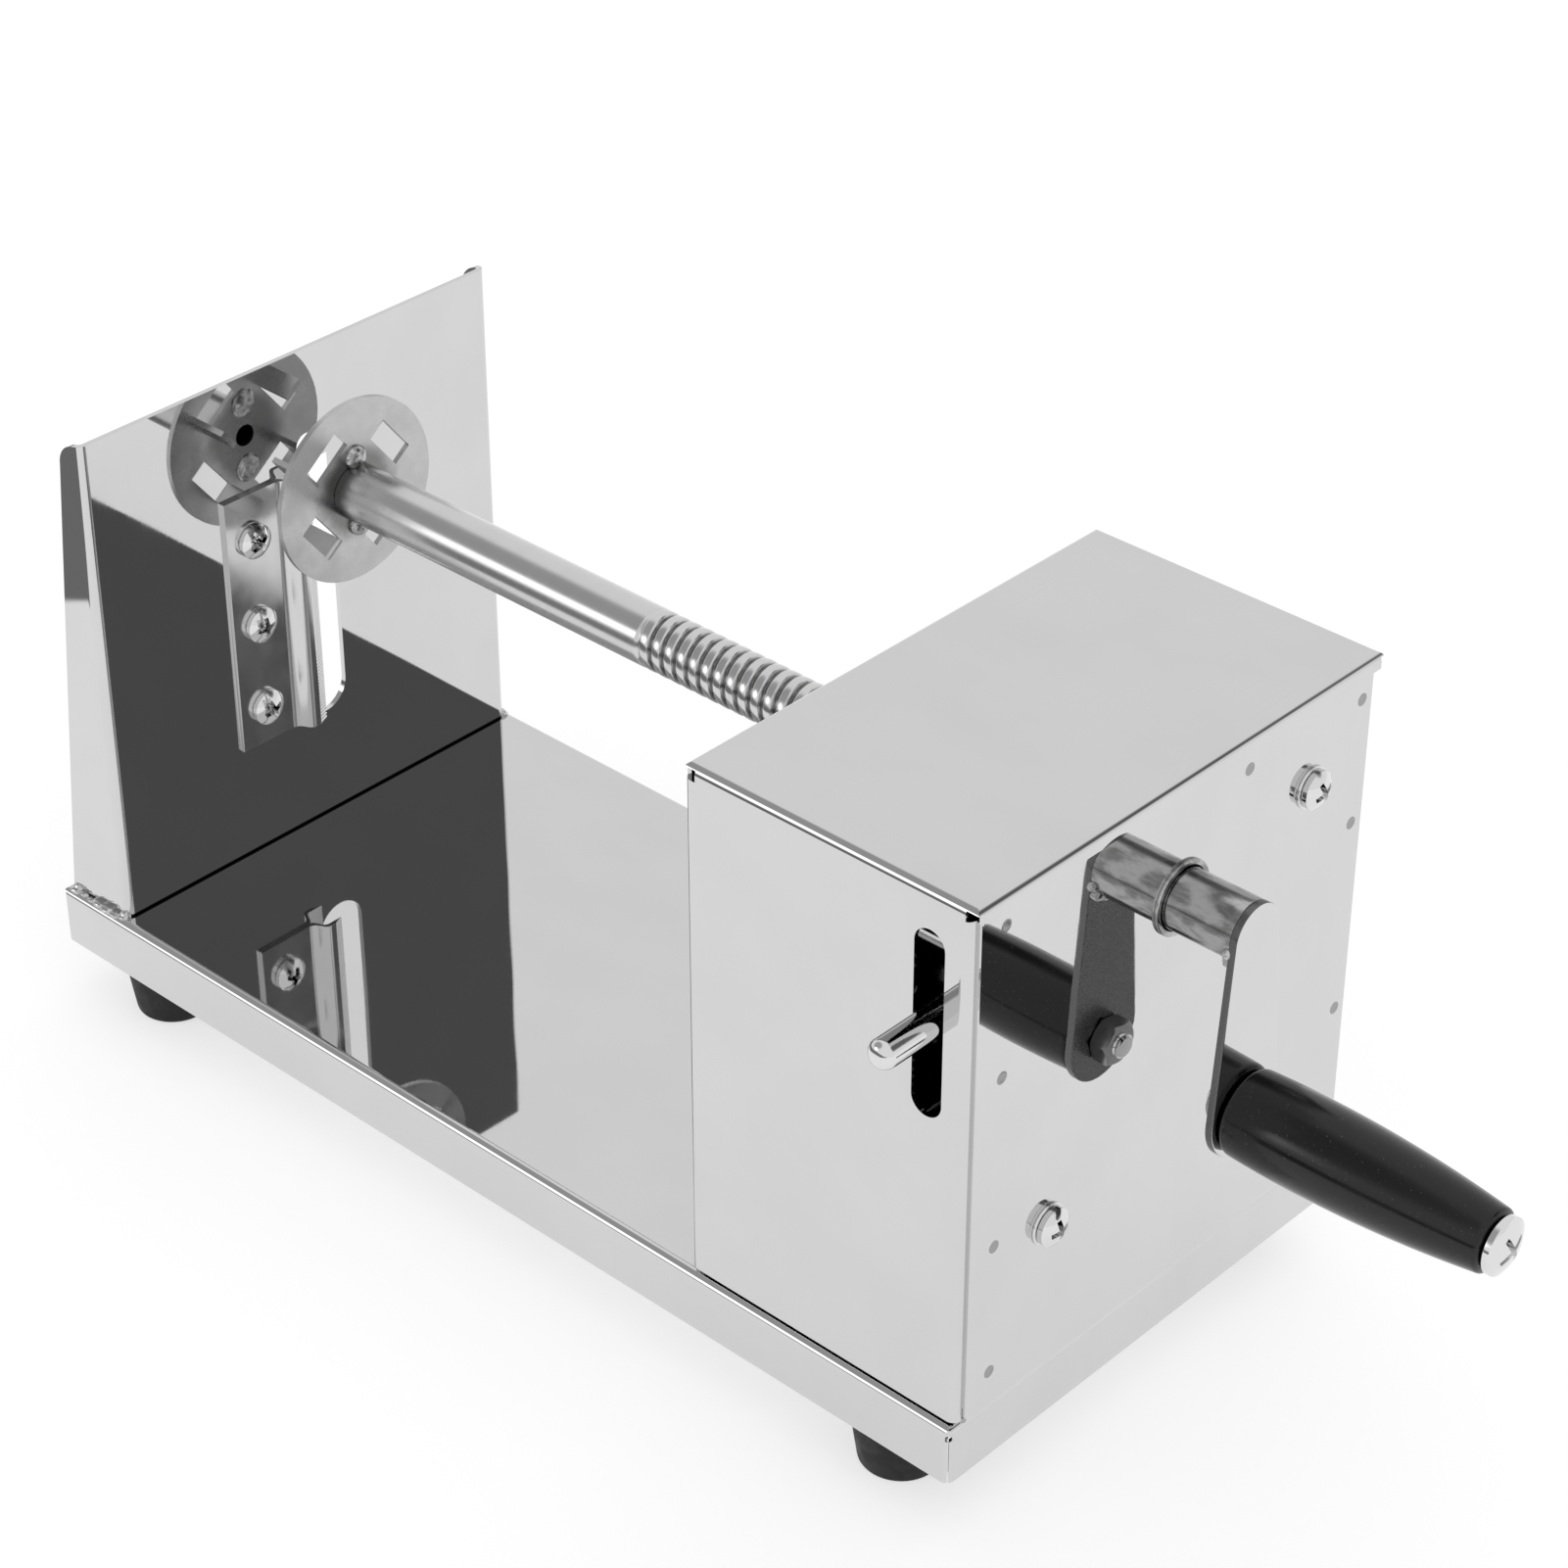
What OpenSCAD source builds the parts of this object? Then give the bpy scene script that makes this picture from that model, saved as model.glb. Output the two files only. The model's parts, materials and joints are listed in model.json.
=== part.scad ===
// Hand cranked tornado potato cutter: a threaded spindle pushes a forked disc at an upright slicing knife.
// +X runs along the spindle towards the crank, +Z is up. The origin is the centre of the tray on the bench.

/* [Base tray] */
// Length of the base tray
base_l = 310; // [290:1:330]
// Width of the base tray
base_w = 141; // [130:1:160]
// Depth of the tray's turned-down edges
flange_h = 16.2; // [12:0.1:20]
// Thickness of the tray and housing sheet
sheet_t = 1.2; // [0.8:0.1:1.6]
// Outer radius of the bends
bend_r = 2.4; // [2.2:0.1:3]
// Diameter of the relief hole at each tray corner
relief_d = 1.8; // [1:0.1:2.4]

/* [Feet] */
// How far the feet reach below the tray's edge
foot_drop = 16; // [10:0.5:20]
// Diameter of a foot where it meets the tray
foot_d = 24.4; // [20:0.2:28]
// Diameter of a foot on the bench
foot_base_d = 20; // [16:0.2:24]
// Distance of a foot's axis from the tray's end
foot_inset = 26; // [22:0.5:40]
// Clearance between a foot and the turned-down edge
foot_gap = 0.6; // [0.3:0.1:2]
// Edge radius of a foot on the bench
foot_edge_r = 1.5; // [0.5:0.1:2]
// Diameter of the bore up the foot for its screw head
foot_bore_d = 11; // [10.6:0.2:12]

/* [Spindle] */
// Drop of the spindle's axis below the housing's roof
axis_drop = 31.8; // [26:0.1:34]
// Outer diameter of the spindle tube and thread
spindle_d = 15; // [13:0.1:17]
// Wall of the spindle tube
tube_t = 2; // [1.6:0.1:2.4]
// Length of the plain tube between disc and thread
plain_l = 106; // [90:0.25:110]
// Pitch of the feed thread
pitch = 4; // [3:0.5:6]
// Depth of the feed thread
thread_depth = 1; // [0.6:0.1:1.2]
// Length of the threaded tube
thread_l = 160; // [155:0.5:170]

/* [Fork disc] */
// Diameter of the fork disc
disc_d = 50; // [44:0.5:60]
// Thickness of the fork disc
disc_t = 1.5; // [1:0.1:2]
// Diameter of the hole in the disc's middle
disc_hole_d = 6; // [4:0.2:8]
// Radius at which the four windows lie
window_r = 15.1; // [14:0.1:16]
// Length of a window
window_l = 13.6; // [12:0.1:15]
// Width of a window and of the prong bent out of it
window_w = 6; // [4:0.1:7]
// Angle of the first window, from +Y towards +Z
window_turn = 37.7; // [0:0.1:90]
// Length of a prong
prong_l = 11; // [8:0.1:12]
// Radius of the tack welds between disc and tube
tack_r = 4; // [2:0.1:4.5]

/* [Crank] */
// Distance between the rear panel and the crank arm
crank_gap = 18.9; // [18:0.1:30]
// Distance between the spindle's axis and the grip's axis
crank_r = 47; // [40:0.5:70]
// Thickness of the crank arm
arm_t = 2; // [1.5:0.1:3]
// Width of the crank arm at the grip
arm_end_d = 23; // [20:0.5:26]
// Diameter of the stud inside the hub
stud_d = 9; // [7:0.1:9.4]
// Length of the stud inside the threaded tube
stud_l = 25; // [15:0.5:30]
// Length of the grip
grip_l = 66.5; // [60:0.5:100]
// Diameter of the grip at the arm
grip_root_d = 21; // [18:0.2:24]
// Diameter of the grip at its thickest
grip_belly_d = 22; // [20:0.2:26]
// Diameter of the grip at its outer end
grip_end_d = 15.2; // [14:0.2:18]
// Edge radius of the grip's ends
grip_edge_r = 1.5; // [0.8:0.1:2]
// Diameter of the grip bolt
bolt_d = 6; // [5:0.5:8]
// Head diameter of the grip bolt
bolt_head_d = 14; // [12:0.2:15]
// Head height of the grip bolt
bolt_head_h = 3.8; // [2.6:0.1:4.4]

/* [Blade plate] */
// Thickness of the blade plate
plate_t = 1.5; // [1:0.1:2]
// Distance of the plate's face from the tray's end
plate_set = 24.7; // [18:0.1:28]
// How far the blade plate ends below the level of the housing's roof
plate_drop = 1.3; // [0:0.1:6]
// Step of the plate inside the tray's side
plate_inset = 2.5; // [1:0.25:4]
// Width of the plate's side wings at the top
wing_top_w = 8; // [8:0.5:14]
// Corner radius of the wings
wing_r = 7; // [4:0.5:7.5]
// Width of the cutting slot
slot_w = 15; // [12:0.5:18]
// Sideways place of the cutting slot
slot_y = 3.25; // [3:0.25:6]
// Height of the cutting slot below its shoulders
slot_l = 76; // [70:1:85]
// Width of the notch at the slot's top
notch_w = 7; // [5:0.5:9]
// Height of the notch at the slot's top
notch_h = 8; // [6:0.5:10]

/* [Knife] */
// Thickness of the knife
knife_t = 1.2; // [0.8:0.1:1.5]
// Height of the knife
knife_h = 74; // [70:1:80]
// Width of the knife's flat part
knife_flat_w = 18.7; // [16:0.1:22]
// Offset of the cutting strip from the plate, which is the slice's thickness
knife_step = 4; // [3:0.1:5]
// Width of the knife's sloping joggle
knife_run = 2; // [1.6:0.1:3]
// Width of the cutting strip
knife_strip_w = 5.5; // [4:0.1:7]
// How far the cutting edge passes the spindle's axis
knife_edge = 0.1; // [0:0.1:2]
// Distance between two knife screws
knife_pitch = 25; // [20:0.5:27]

/* [Housing] */
// Length of the housing over its lips
housing_l = 83.2; // [78:0.2:90]
// Height of the housing
housing_h = 140.2; // [138:0.1:146]
// Step of the housing inside the tray's side
housing_inset = 1; // [1:0.25:4]
// How far the rear panel stands out past the tray's end
rear_overhang = 1.8; // [0:0.1:3]
// Depth of the lips over the panels
lip_h = 4; // [3.4:0.1:6]
// Width of the cover's inward returns
return_w = 12; // [10:0.5:14]
// Gap under the cover's sides
cover_gap = 1.3; // [0.5:0.1:2]
// Width of the feet of the two panels
panel_foot_w = 14; // [10:0.5:20]
// Step of a panel's edge inside the cover's side
panel_step = 2.5; // [0.5:0.1:3]
// Outer diameter of the bushing flanges
bush_flange_d = 18.5; // [18:0.1:24]
// Thickness of the bushing flanges
bush_flange_t = 0.8; // [0.5:0.1:2]

/* [Release lever] */
// Distance of the lever inside the rear panel's face
lever_set = 11.7; // [10:0.1:13]
// Thickness of the lever
lever_t = 3; // [2:0.1:4]
// Height of the lever's arm
lever_w = 10; // [8:0.5:11]
// Distance of the lever's pivot from the cover's side
pivot_inset = 23.5; // [18:0.1:26]
// Height of the pivot above the spindle's axis
pivot_up = 6.3; // [2:0.1:8]
// Diameter of the lever's pin
pin_d = 7.2; // [6:0.1:7.4]
// Drop of the pin's axis below the spindle's axis
pin_drop = 2.3; // [1:0.1:5]
// How far the pin stands out of the cover
pin_out = 16.5; // [10:0.5:25]
// Width of the slot for the pin
lever_slot_w = 8.4; // [8:0.1:9]
// Height of the slot for the pin
lever_slot_l = 48; // [46:0.5:50]
// Distance of the spring's anchor from the cover's side, on the pin's side
anchor_inset = 28.2; // [24:0.1:32]
// Drop of the spring's anchor below the spindle's axis
anchor_drop = 65.9; // [60:0.1:74]
// Turns of the return spring
spring_turns = 20; // [12:1:24]

/* [Hidden] */
$fn = 64;

// Overrun of every cut
over = 1;
// Length of a cutter that passes through a wall, half of it on each side
cut_l = 20;

// Colours
steel = [0.78, 0.78, 0.79];
bright = [0.86, 0.86, 0.87];
satin = [0.66, 0.66, 0.65];
rubber = [0.09, 0.09, 0.09];
plastic = [0.06, 0.06, 0.06];

// Main levels and planes
tray_top = foot_drop + flange_h;
roof_z = tray_top + housing_h;
axis_z = roof_z - axis_drop;
rear_x = base_l / 2 + rear_overhang;
front_x = rear_x - housing_l + 2 * sheet_t;
house_y = base_w / 2 - housing_inset;
plate_x = plate_set - base_l / 2;
plate_y = base_w / 2 - plate_inset;
plate_h = housing_h - plate_drop;
lever_x = rear_x - lever_set;

// Screws: thread, head and nut sizes of the two sizes used
m5_d = 5;
m5_head_d = 9.6;
m5_head_h = 3.6;
m5_nut_d = 9.2;
m5_nut_h = 4;
m6_d = 6;
m6_nut_d = 11.5;
m6_nut_h = 5;
washer_d = 10.6;
washer_t = 0.7;
tip_l = 1.5;
recess_w = 1.2;
recess_share = 0.62;
recess_depth_share = 0.5;
fit_gap = 0.02;
hole_gap = 0.25;

// Feet
foot_x = base_l / 2 - foot_inset;
foot_y = base_w / 2 - sheet_t - foot_gap - foot_d / 2;
foot_h = foot_drop + flange_h - sheet_t;
nut_play = 0.6;

// Running clearances
run_gap = 0.35;
stud_play = 0.05;
grip_play = 0.1;
end_play = 0.3;

// Spindle along its axis
hub_x = rear_x + bush_flange_t + end_play;
thread_x0 = hub_x - thread_l;
disc_x = thread_x0 - plain_l - disc_t;
arm_x = rear_x + crank_gap;
grip_z = axis_z - crank_r;
bush_wall = 0.7;
bore_r = spindle_d / 2 - tube_t;
tack_up = spindle_d / 2 + tack_r / 2;
tack_h = 2.6;
burn_h = 0.7;

// Cover
lip_z = housing_h - lip_h;
corner_w = 1.6;
corner_h = lip_h - bend_r / 2;

// Feed thread: columns round the axis, and the shares of a pitch at which crest and root begin and end
thread_cols = 16;
screw_shares = [0, 0.55, 0.68, 0.87];
nut_shares = [-0.06, 0.61, 0.74, 0.81];
nut_play_r = 0.25;
half_nut_l = 12;
half_nut_wall = 4;
half_nut_r = spindle_d / 2 + half_nut_wall;
nut_cols = [1, 7];

// Slot and knife, both hung from the spindle's axis
slot_drop = 1;
knife_drop = 2;
knife_screw_drop = 1.2;
knife_screw_share = 0.45;
knife_count = 3;
bevel_share = 0.85;
knife_y1 = knife_edge;
knife_y0 = knife_y1 - knife_strip_w - knife_run - knife_flat_w;
knife_z1 = axis_z - knife_drop;
knife_screw_y = knife_y0 + knife_flat_w * knife_screw_share;
knife_screw_z = knife_z1 - knife_h / 2 - knife_screw_drop;

// Lever
lever_arch_w = 5.5;
pivot_boss_r = 8;
spacer_d = 11.8;
shoulder_d = 7.4;
shoulder_play = 0.08;
tongue_l = 6;
lever_short = 10;
lever_end = house_y - lever_short;
pin_z = axis_z - pin_drop;
pivot_y = house_y - pivot_inset;
pivot_z = axis_z + pivot_up;
anchor_y = house_y - anchor_inset;
anchor_z = axis_z - anchor_drop;
spacer_reach = lever_set - lever_t / 2;

// Return spring
wire_d = 1;
loop_gap = 0.2;
loop_r = m5_d / 2 + wire_d / 2 + loop_gap;
hook_hole_d = 2.6;
hook_up = 3;
coil_run = 7;
coil_rings = 8;
wire_sides = 6;

// A rectangle with two round top corners, standing on the axis
module dome2d(w, h, r) {
    translate([-w / 2, 0]) square([w, h - r]);
    translate([-w / 2 + r, 0]) square([w - 2 * r, h]);
    for (s = [-1, 1]) translate([s * (w / 2 - r), h - r]) circle(r);
}

// A block whose four top edges are round
module pillow(l, w, h, r) {
    intersection() {
        rotate([90, 0, 90]) translate([0, 0, -l / 2]) linear_extrude(l) dome2d(w, h, r);
        rotate([90, 0, 0]) translate([0, 0, -w / 2]) linear_extrude(w) dome2d(l, h, r);
    }
}

// A straight bar between two points, with round ends
module bar2d(p, q, w) {
    run = norm(q - p);
    translate(p) rotate(atan2(q[1] - p[1], q[0] - p[0])) translate([0, -w / 2]) square([run, w]);
    translate(p) circle(w / 2);
    translate(q) circle(w / 2);
}

// Turns a shape drawn along +Z so that it points along +X
module along_x() {
    rotate([0, 90, 0]) children();
}

// A slot with round ends, drawn along Y of the sketch
module slot2d(w, l) {
    square([w, l - w], center = true);
    for (s = [-1, 1]) translate([0, s * (l - w) / 2]) circle(w / 2);
}

// A pan-head screw with a cross recess: the head's seat is at the origin, the head points along +X
module pan_screw(d, head_d, head_h, l) {
    rise = head_h / 2;
    dome_r = (pow(head_d / 2, 2) + pow(rise, 2)) / (2 * rise);
    along_x() {
        translate([0, 0, -l]) cylinder(d = d, h = l + head_h / 2);
        difference() {
            union() {
                cylinder(d = head_d, h = head_h - rise);
                intersection() {
                    translate([0, 0, head_h - dome_r]) sphere(dome_r);
                    translate([0, 0, head_h - rise]) cylinder(d = head_d, h = head_h);
                }
            }
            for (a = [0, 90]) rotate(a + 45)
                translate([-head_d * recess_share / 2, -recess_w / 2, head_h * (1 - recess_depth_share)])
                    cube([head_d * recess_share, recess_w, head_h]);
        }
    }
}

// A hexagon nut on +X, drawn from its seat, with its hole a little over the screw
module hex_nut(d, nut_d, h) {
    along_x() difference() {
        cylinder(d = nut_d, h = h, $fn = 6);
        translate([0, 0, -over]) cylinder(d = d + 2 * fit_gap, h = h + 2 * over);
    }
}

// A plain washer from its seat along +X
module flat_washer(d, outer_d, h) {
    along_x() difference() {
        cylinder(d = outer_d, h = h);
        translate([0, 0, -over]) cylinder(d = d + 2 * hole_gap, h = h + 2 * over);
    }
}

module at_feet() {
    for (sx = [-1, 1], sy = [-1, 1]) translate([sx * foot_x, sy * foot_y, 0]) children();
}

// A block whose four upright edges are round as well
module soft_block(l, w, h, r) {
    intersection() {
        pillow(l, w, h, r);
        linear_extrude(h) {
            square([l - 2 * r, w], center = true);
            square([l, w - 2 * r], center = true);
            for (sx = [-1, 1], sy = [-1, 1]) translate([sx * (l / 2 - r), sy * (w / 2 - r)]) circle(r);
        }
    }
}

module base_tray() {
    color(steel) translate([0, 0, foot_drop]) difference() {
        soft_block(base_l, base_w, flange_h, bend_r);
        translate([0, 0, -over]) intersection() {
            soft_block(base_l - 2 * sheet_t, base_w - 2 * sheet_t, flange_h - sheet_t + over, bend_r - sheet_t);
            translate([-base_l, -base_w, 0]) cube([2 * base_l, 2 * base_w, flange_h - sheet_t + over]);
        }
        for (sx = [-1, 1], sy = [-1, 1])
            translate([sx * (base_l / 2 - bend_r), sy * (base_w / 2 - bend_r), flange_h - bend_r - relief_d / 2])
                rotate([0, 90, atan2(sy, sx)]) cylinder(d = relief_d, h = 2 * bend_r);
    }
}

module rubber_feet() {
    color(rubber) at_feet() difference() {
        rotate_extrude() {
            polygon([
                [0, 0], [foot_base_d / 2 - foot_edge_r, 0], [foot_base_d / 2 - fit_gap, foot_edge_r],
                [foot_d / 2, foot_drop], [foot_d / 2, foot_h], [0, foot_h]]);
            translate([foot_base_d / 2 - foot_edge_r, foot_edge_r]) circle(foot_edge_r);
        }
        translate([0, 0, -over]) cylinder(d = foot_bore_d, h = over + foot_h / 2);
        translate([0, 0, -over]) cylinder(d = m5_d + 2 * hole_gap, h = foot_h + 2 * over);
        translate([0, 0, foot_h - m5_nut_h - nut_play])
            cylinder(d = m5_nut_d + 2 * nut_play, h = m5_nut_h + nut_play + over);
    }
}

module foot_screws() {
    color(satin) at_feet() translate([0, 0, foot_h / 2]) rotate([0, 90, 0])
        pan_screw(m5_d, m5_head_d, m5_head_h, foot_h / 2 - nut_play / 2);
}

module foot_nuts() {
    color(satin) at_feet() translate([0, 0, foot_h - m5_nut_h]) rotate([0, -90, 0]) hex_nut(m5_d, m5_nut_d, m5_nut_h);
}

// The side view of the blade plate with its wings, as (x, z)
module wing2d() {
    top_x = plate_x - wing_top_w;
    arc_z = tray_top + plate_h - wing_r;
    polygon([[-base_l / 2 + bend_r, tray_top], [plate_x, tray_top], [plate_x, arc_z], [top_x, arc_z]]);
    translate([top_x + wing_r, arc_z]) circle(wing_r);
    translate([top_x + wing_r, arc_z - over]) square([wing_top_w - wing_r, wing_r + over]);
    translate([top_x, arc_z - over]) square([wing_top_w, over]);
}

// The cutting slot's outline about the middle of its wide part, with the notch above
module slot_outline() {
    shoulder = slot_l / 2;
    translate([0, slot_w / 4]) square([slot_w, slot_l - slot_w / 2], center = true);
    translate([0, -shoulder + slot_w / 2]) circle(slot_w / 2);
    translate([-notch_w / 2, 0]) square([notch_w, shoulder + notch_h - notch_w / 2]);
    translate([0, shoulder + notch_h - notch_w / 2]) circle(notch_w / 2);
}

module blade_plate() {
    depth = plate_x + base_l / 2;
    color(steel) difference() {
        intersection() {
            rotate([90, 0, 0]) translate([0, 0, -plate_y]) linear_extrude(2 * plate_y) wing2d();
            translate([plate_x, 0, tray_top]) rotate(-90) translate([0, -depth, 0])
                linear_extrude(plate_h) difference() {
                    dome2d(2 * plate_y, depth, bend_r);
                    translate([0, -plate_t]) dome2d(2 * (plate_y - plate_t), depth, bend_r - plate_t);
                }
        }
        translate([plate_x - cut_l / 2, slot_y, axis_z - slot_drop - slot_l / 2]) rotate([90, 0, 90])
            linear_extrude(cut_l) slot_outline();
        at_knife_screws() along_x() translate([0, 0, -cut_l / 2]) cylinder(d = m5_d + 2 * hole_gap, h = cut_l);
    }
}

module at_knife_screws() {
    for (i = [0 : knife_count - 1])
        translate([plate_x, knife_screw_y, knife_screw_z + (i - (knife_count - 1) / 2) * knife_pitch]) children();
}

module slicing_knife() {
    x0 = plate_x;
    y1 = knife_y0 + knife_flat_w;
    y2 = y1 + knife_run;
    color(satin) difference() {
        translate([0, 0, knife_z1 - knife_h]) linear_extrude(knife_h) polygon([
            [x0, knife_y0], [x0, y1], [x0 + knife_step, y2], [x0 + knife_step, knife_y1],
            [x0 + knife_step + knife_t, knife_y1 - knife_strip_w * bevel_share],
            [x0 + knife_step + knife_t, y2 - knife_run / 4],
            [x0 + knife_t, y1 - knife_run / 4], [x0 + knife_t, knife_y0]]);
        at_knife_screws() along_x() translate([0, 0, -cut_l / 2]) cylinder(d = m5_d + 2 * hole_gap, h = cut_l);
    }
}

module knife_screws() {
    color(bright) at_knife_screws() translate([knife_t, 0, 0])
        pan_screw(m5_d, m5_head_d, m5_head_h, knife_t + plate_t + m5_nut_h + tip_l);
}

module knife_nuts() {
    color(satin) at_knife_screws() translate([-plate_t - m5_nut_h, 0, 0]) hex_nut(m5_d, m5_nut_d, m5_nut_h);
}

// The roof with its round edges and its lips over the panels. Each corner is open under the bend
module roof() {
    difference() {
        pillow(housing_l, 2 * house_y, housing_h, bend_r);
        translate([0, 0, -over])
            pillow(housing_l - 2 * sheet_t, 2 * (house_y - sheet_t), housing_h - sheet_t + over, bend_r - sheet_t);
        translate([-housing_l, -house_y - over, -over]) cube([2 * housing_l, 2 * (house_y + over), lip_z + over]);
        for (sx = [-1, 1], sy = [-1, 1]) translate([sx * housing_l / 2, sy * house_y, lip_z])
            cube([2 * (sheet_t + bend_r), 2 * corner_w, 2 * corner_h], center = true);
    }
}

// One side of the cover, with a round inward return at both ends: its outer face is at the origin and faces +Y.
// The rear panel lies outside its returns, and the front panel inside
module cover_side() {
    side_l = rear_x - front_x;
    translate([-sheet_t, -return_w, cover_gap]) linear_extrude(lip_z + fit_gap - cover_gap) difference() {
        dome2d(side_l, return_w, bend_r);
        translate([0, -sheet_t]) dome2d(side_l - 2 * sheet_t, return_w, bend_r - sheet_t);
    }
}

module housing_cover() {
    color(bright) difference() {
        translate([(front_x + rear_x) / 2, 0, tray_top]) {
            roof();
            for (s = [0, 1]) mirror([0, s, 0]) translate([0, house_y, 0]) cover_side();
        }
        translate([front_x - sheet_t - over, -house_y + bend_r, tray_top])
            cube([rear_x - front_x + 2 * (sheet_t + over), 2 * (house_y - bend_r), 2 * bend_r]);
        translate([lever_x, -house_y - cut_l / 2, pin_z]) rotate([-90, 0, 0]) linear_extrude(cut_l)
            slot2d(lever_slot_w, lever_slot_l);
    }
}

// A flat outline drawn in (x, z), made wide along Y on both sides of the origin
module wide_y(half) {
    rotate([90, 0, 0]) translate([0, 0, -half]) linear_extrude(2 * half) children();
}

// A panel standing on its inward foot: the outer face is at the origin and faces -X
module panel_blank() {
    wide_y(house_y - panel_step) translate([0, bend_r]) square([sheet_t, housing_h - 2 * bend_r]);
    wide_y(house_y - bend_r - end_play) {
        translate([bend_r - fit_gap, 0]) square([panel_foot_w - bend_r, sheet_t]);
        difference() {
            intersection() {
                translate([bend_r, bend_r]) circle(bend_r);
                square(bend_r + fit_gap);
            }
            translate([bend_r, bend_r]) circle(bend_r - sheet_t);
        }
    }
}

module bush_hole(at_x) {
    translate([at_x - cut_l / 2, 0, axis_z]) along_x()
        cylinder(r = spindle_d / 2 + run_gap + bush_wall + fit_gap, h = cut_l);
}

module front_panel() {
    color(steel) difference() {
        translate([front_x, 0, tray_top]) panel_blank();
        bush_hole(front_x);
    }
}

module rear_panel() {
    color(bright) difference() {
        translate([rear_x, 0, tray_top]) mirror([1, 0, 0]) panel_blank();
        bush_hole(rear_x);
        translate([rear_x - cut_l / 2, pivot_y, pivot_z]) along_x() cylinder(d = m5_d + 2 * hole_gap, h = cut_l);
        translate([rear_x - cut_l / 2, -anchor_y, anchor_z]) along_x() cylinder(d = m5_d + 2 * hole_gap, h = cut_l);
    }
}

// A flanged bushing: its flange lies on the panel's outer face and points along -X, and its barrel is rolled over inside
module bushing() {
    barrel_r = spindle_d / 2 + run_gap + bush_wall;
    along_x() difference() {
        union() {
            translate([0, 0, -bush_flange_t]) cylinder(d = bush_flange_d, h = bush_flange_t);
            cylinder(r = barrel_r, h = sheet_t);
            translate([0, 0, sheet_t]) cylinder(d = bush_flange_d, h = sheet_t);
        }
        translate([0, 0, -bush_flange_t - over])
            cylinder(r = spindle_d / 2 + run_gap, h = bush_flange_t + 2 * sheet_t + 2 * over);
    }
}

module front_bushing() {
    color(satin) translate([front_x, 0, axis_z]) bushing();
}

module rear_bushing() {
    color(satin) translate([rear_x, 0, axis_z]) mirror([1, 0, 0]) bushing();
}

module spindle_tube() {
    color(bright) translate([disc_x + disc_t, 0, axis_z]) along_x() difference() {
        cylinder(d = spindle_d, h = plain_l);
        translate([0, 0, -over]) cylinder(r = bore_r, h = plain_l + 2 * over);
    }
}

// Where row k of the thread crosses column j, from the thread's start
function row_x(k, j, shares) = pitch * (floor(k / 4) - 1 + shares[k % 4] + j / thread_cols);
function row_r(k, crest, root) = k % 4 < 2 ? crest : root;
function col_point(x, r, j) = [x, r * cos(360 * j / thread_cols), r * sin(360 * j / thread_cols)];
function whole(f) = f[0] != f[1] && f[1] != f[2] && f[2] != f[0];

// The threaded tube, from its start at the origin along +X. The bore is wide enough for a stud of stud_r
module thread_body(l, crest, root, stud_r) {
    n = thread_cols;
    rows = 4 * (ceil(l / pitch) + 2);
    bore = stud_r / cos(180 / n) + fit_gap;
    points = concat(
        [for (j = [0 : n - 1]) col_point(0, crest, j)],
        [for (j = [0 : n - 1]) col_point(l, crest, j)],
        [for (j = [0 : n - 1]) col_point(0, bore, j)],
        [for (j = [0 : n - 1]) col_point(l, bore, j)],
        [for (k = [0 : rows - 1], j = [0 : n - 1])
            col_point(row_x(k, j, screw_shares), row_r(k, crest, root), j)]);
    function id(k, j) = let (x = row_x(k, j, screw_shares), c = j % n)
        x <= 0 ? c : x >= l ? n + c : 4 * n + (k + 4 * floor(j / n)) * n + c;
    skin = [for (k = [0 : rows - 2], j = [0 : n - 1])
        let (a = id(k, j), b = id(k, j + 1), c = id(k + 1, j + 1), d = id(k + 1, j))
            each [[a, d, c], [a, c, b]]];
    ends = [for (j = [0 : n - 1]) let (i = (j + 1) % n)
        each [[j, i, 2 * n + i], [j, 2 * n + i, 2 * n + j],
            [n + i, n + j, 3 * n + j], [n + i, 3 * n + j, 3 * n + i],
            [2 * n + j, 2 * n + i, 3 * n + i], [2 * n + j, 3 * n + i, 3 * n + j]]];
    polyhedron(points, concat([for (f = skin) if (whole(f)) f], ends), convexity = 10);
}

module feed_screw() {
    color(bright) translate([thread_x0, 0, axis_z])
        thread_body(thread_l, spindle_d / 2, spindle_d / 2 - thread_depth, bore_r);
}

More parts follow.
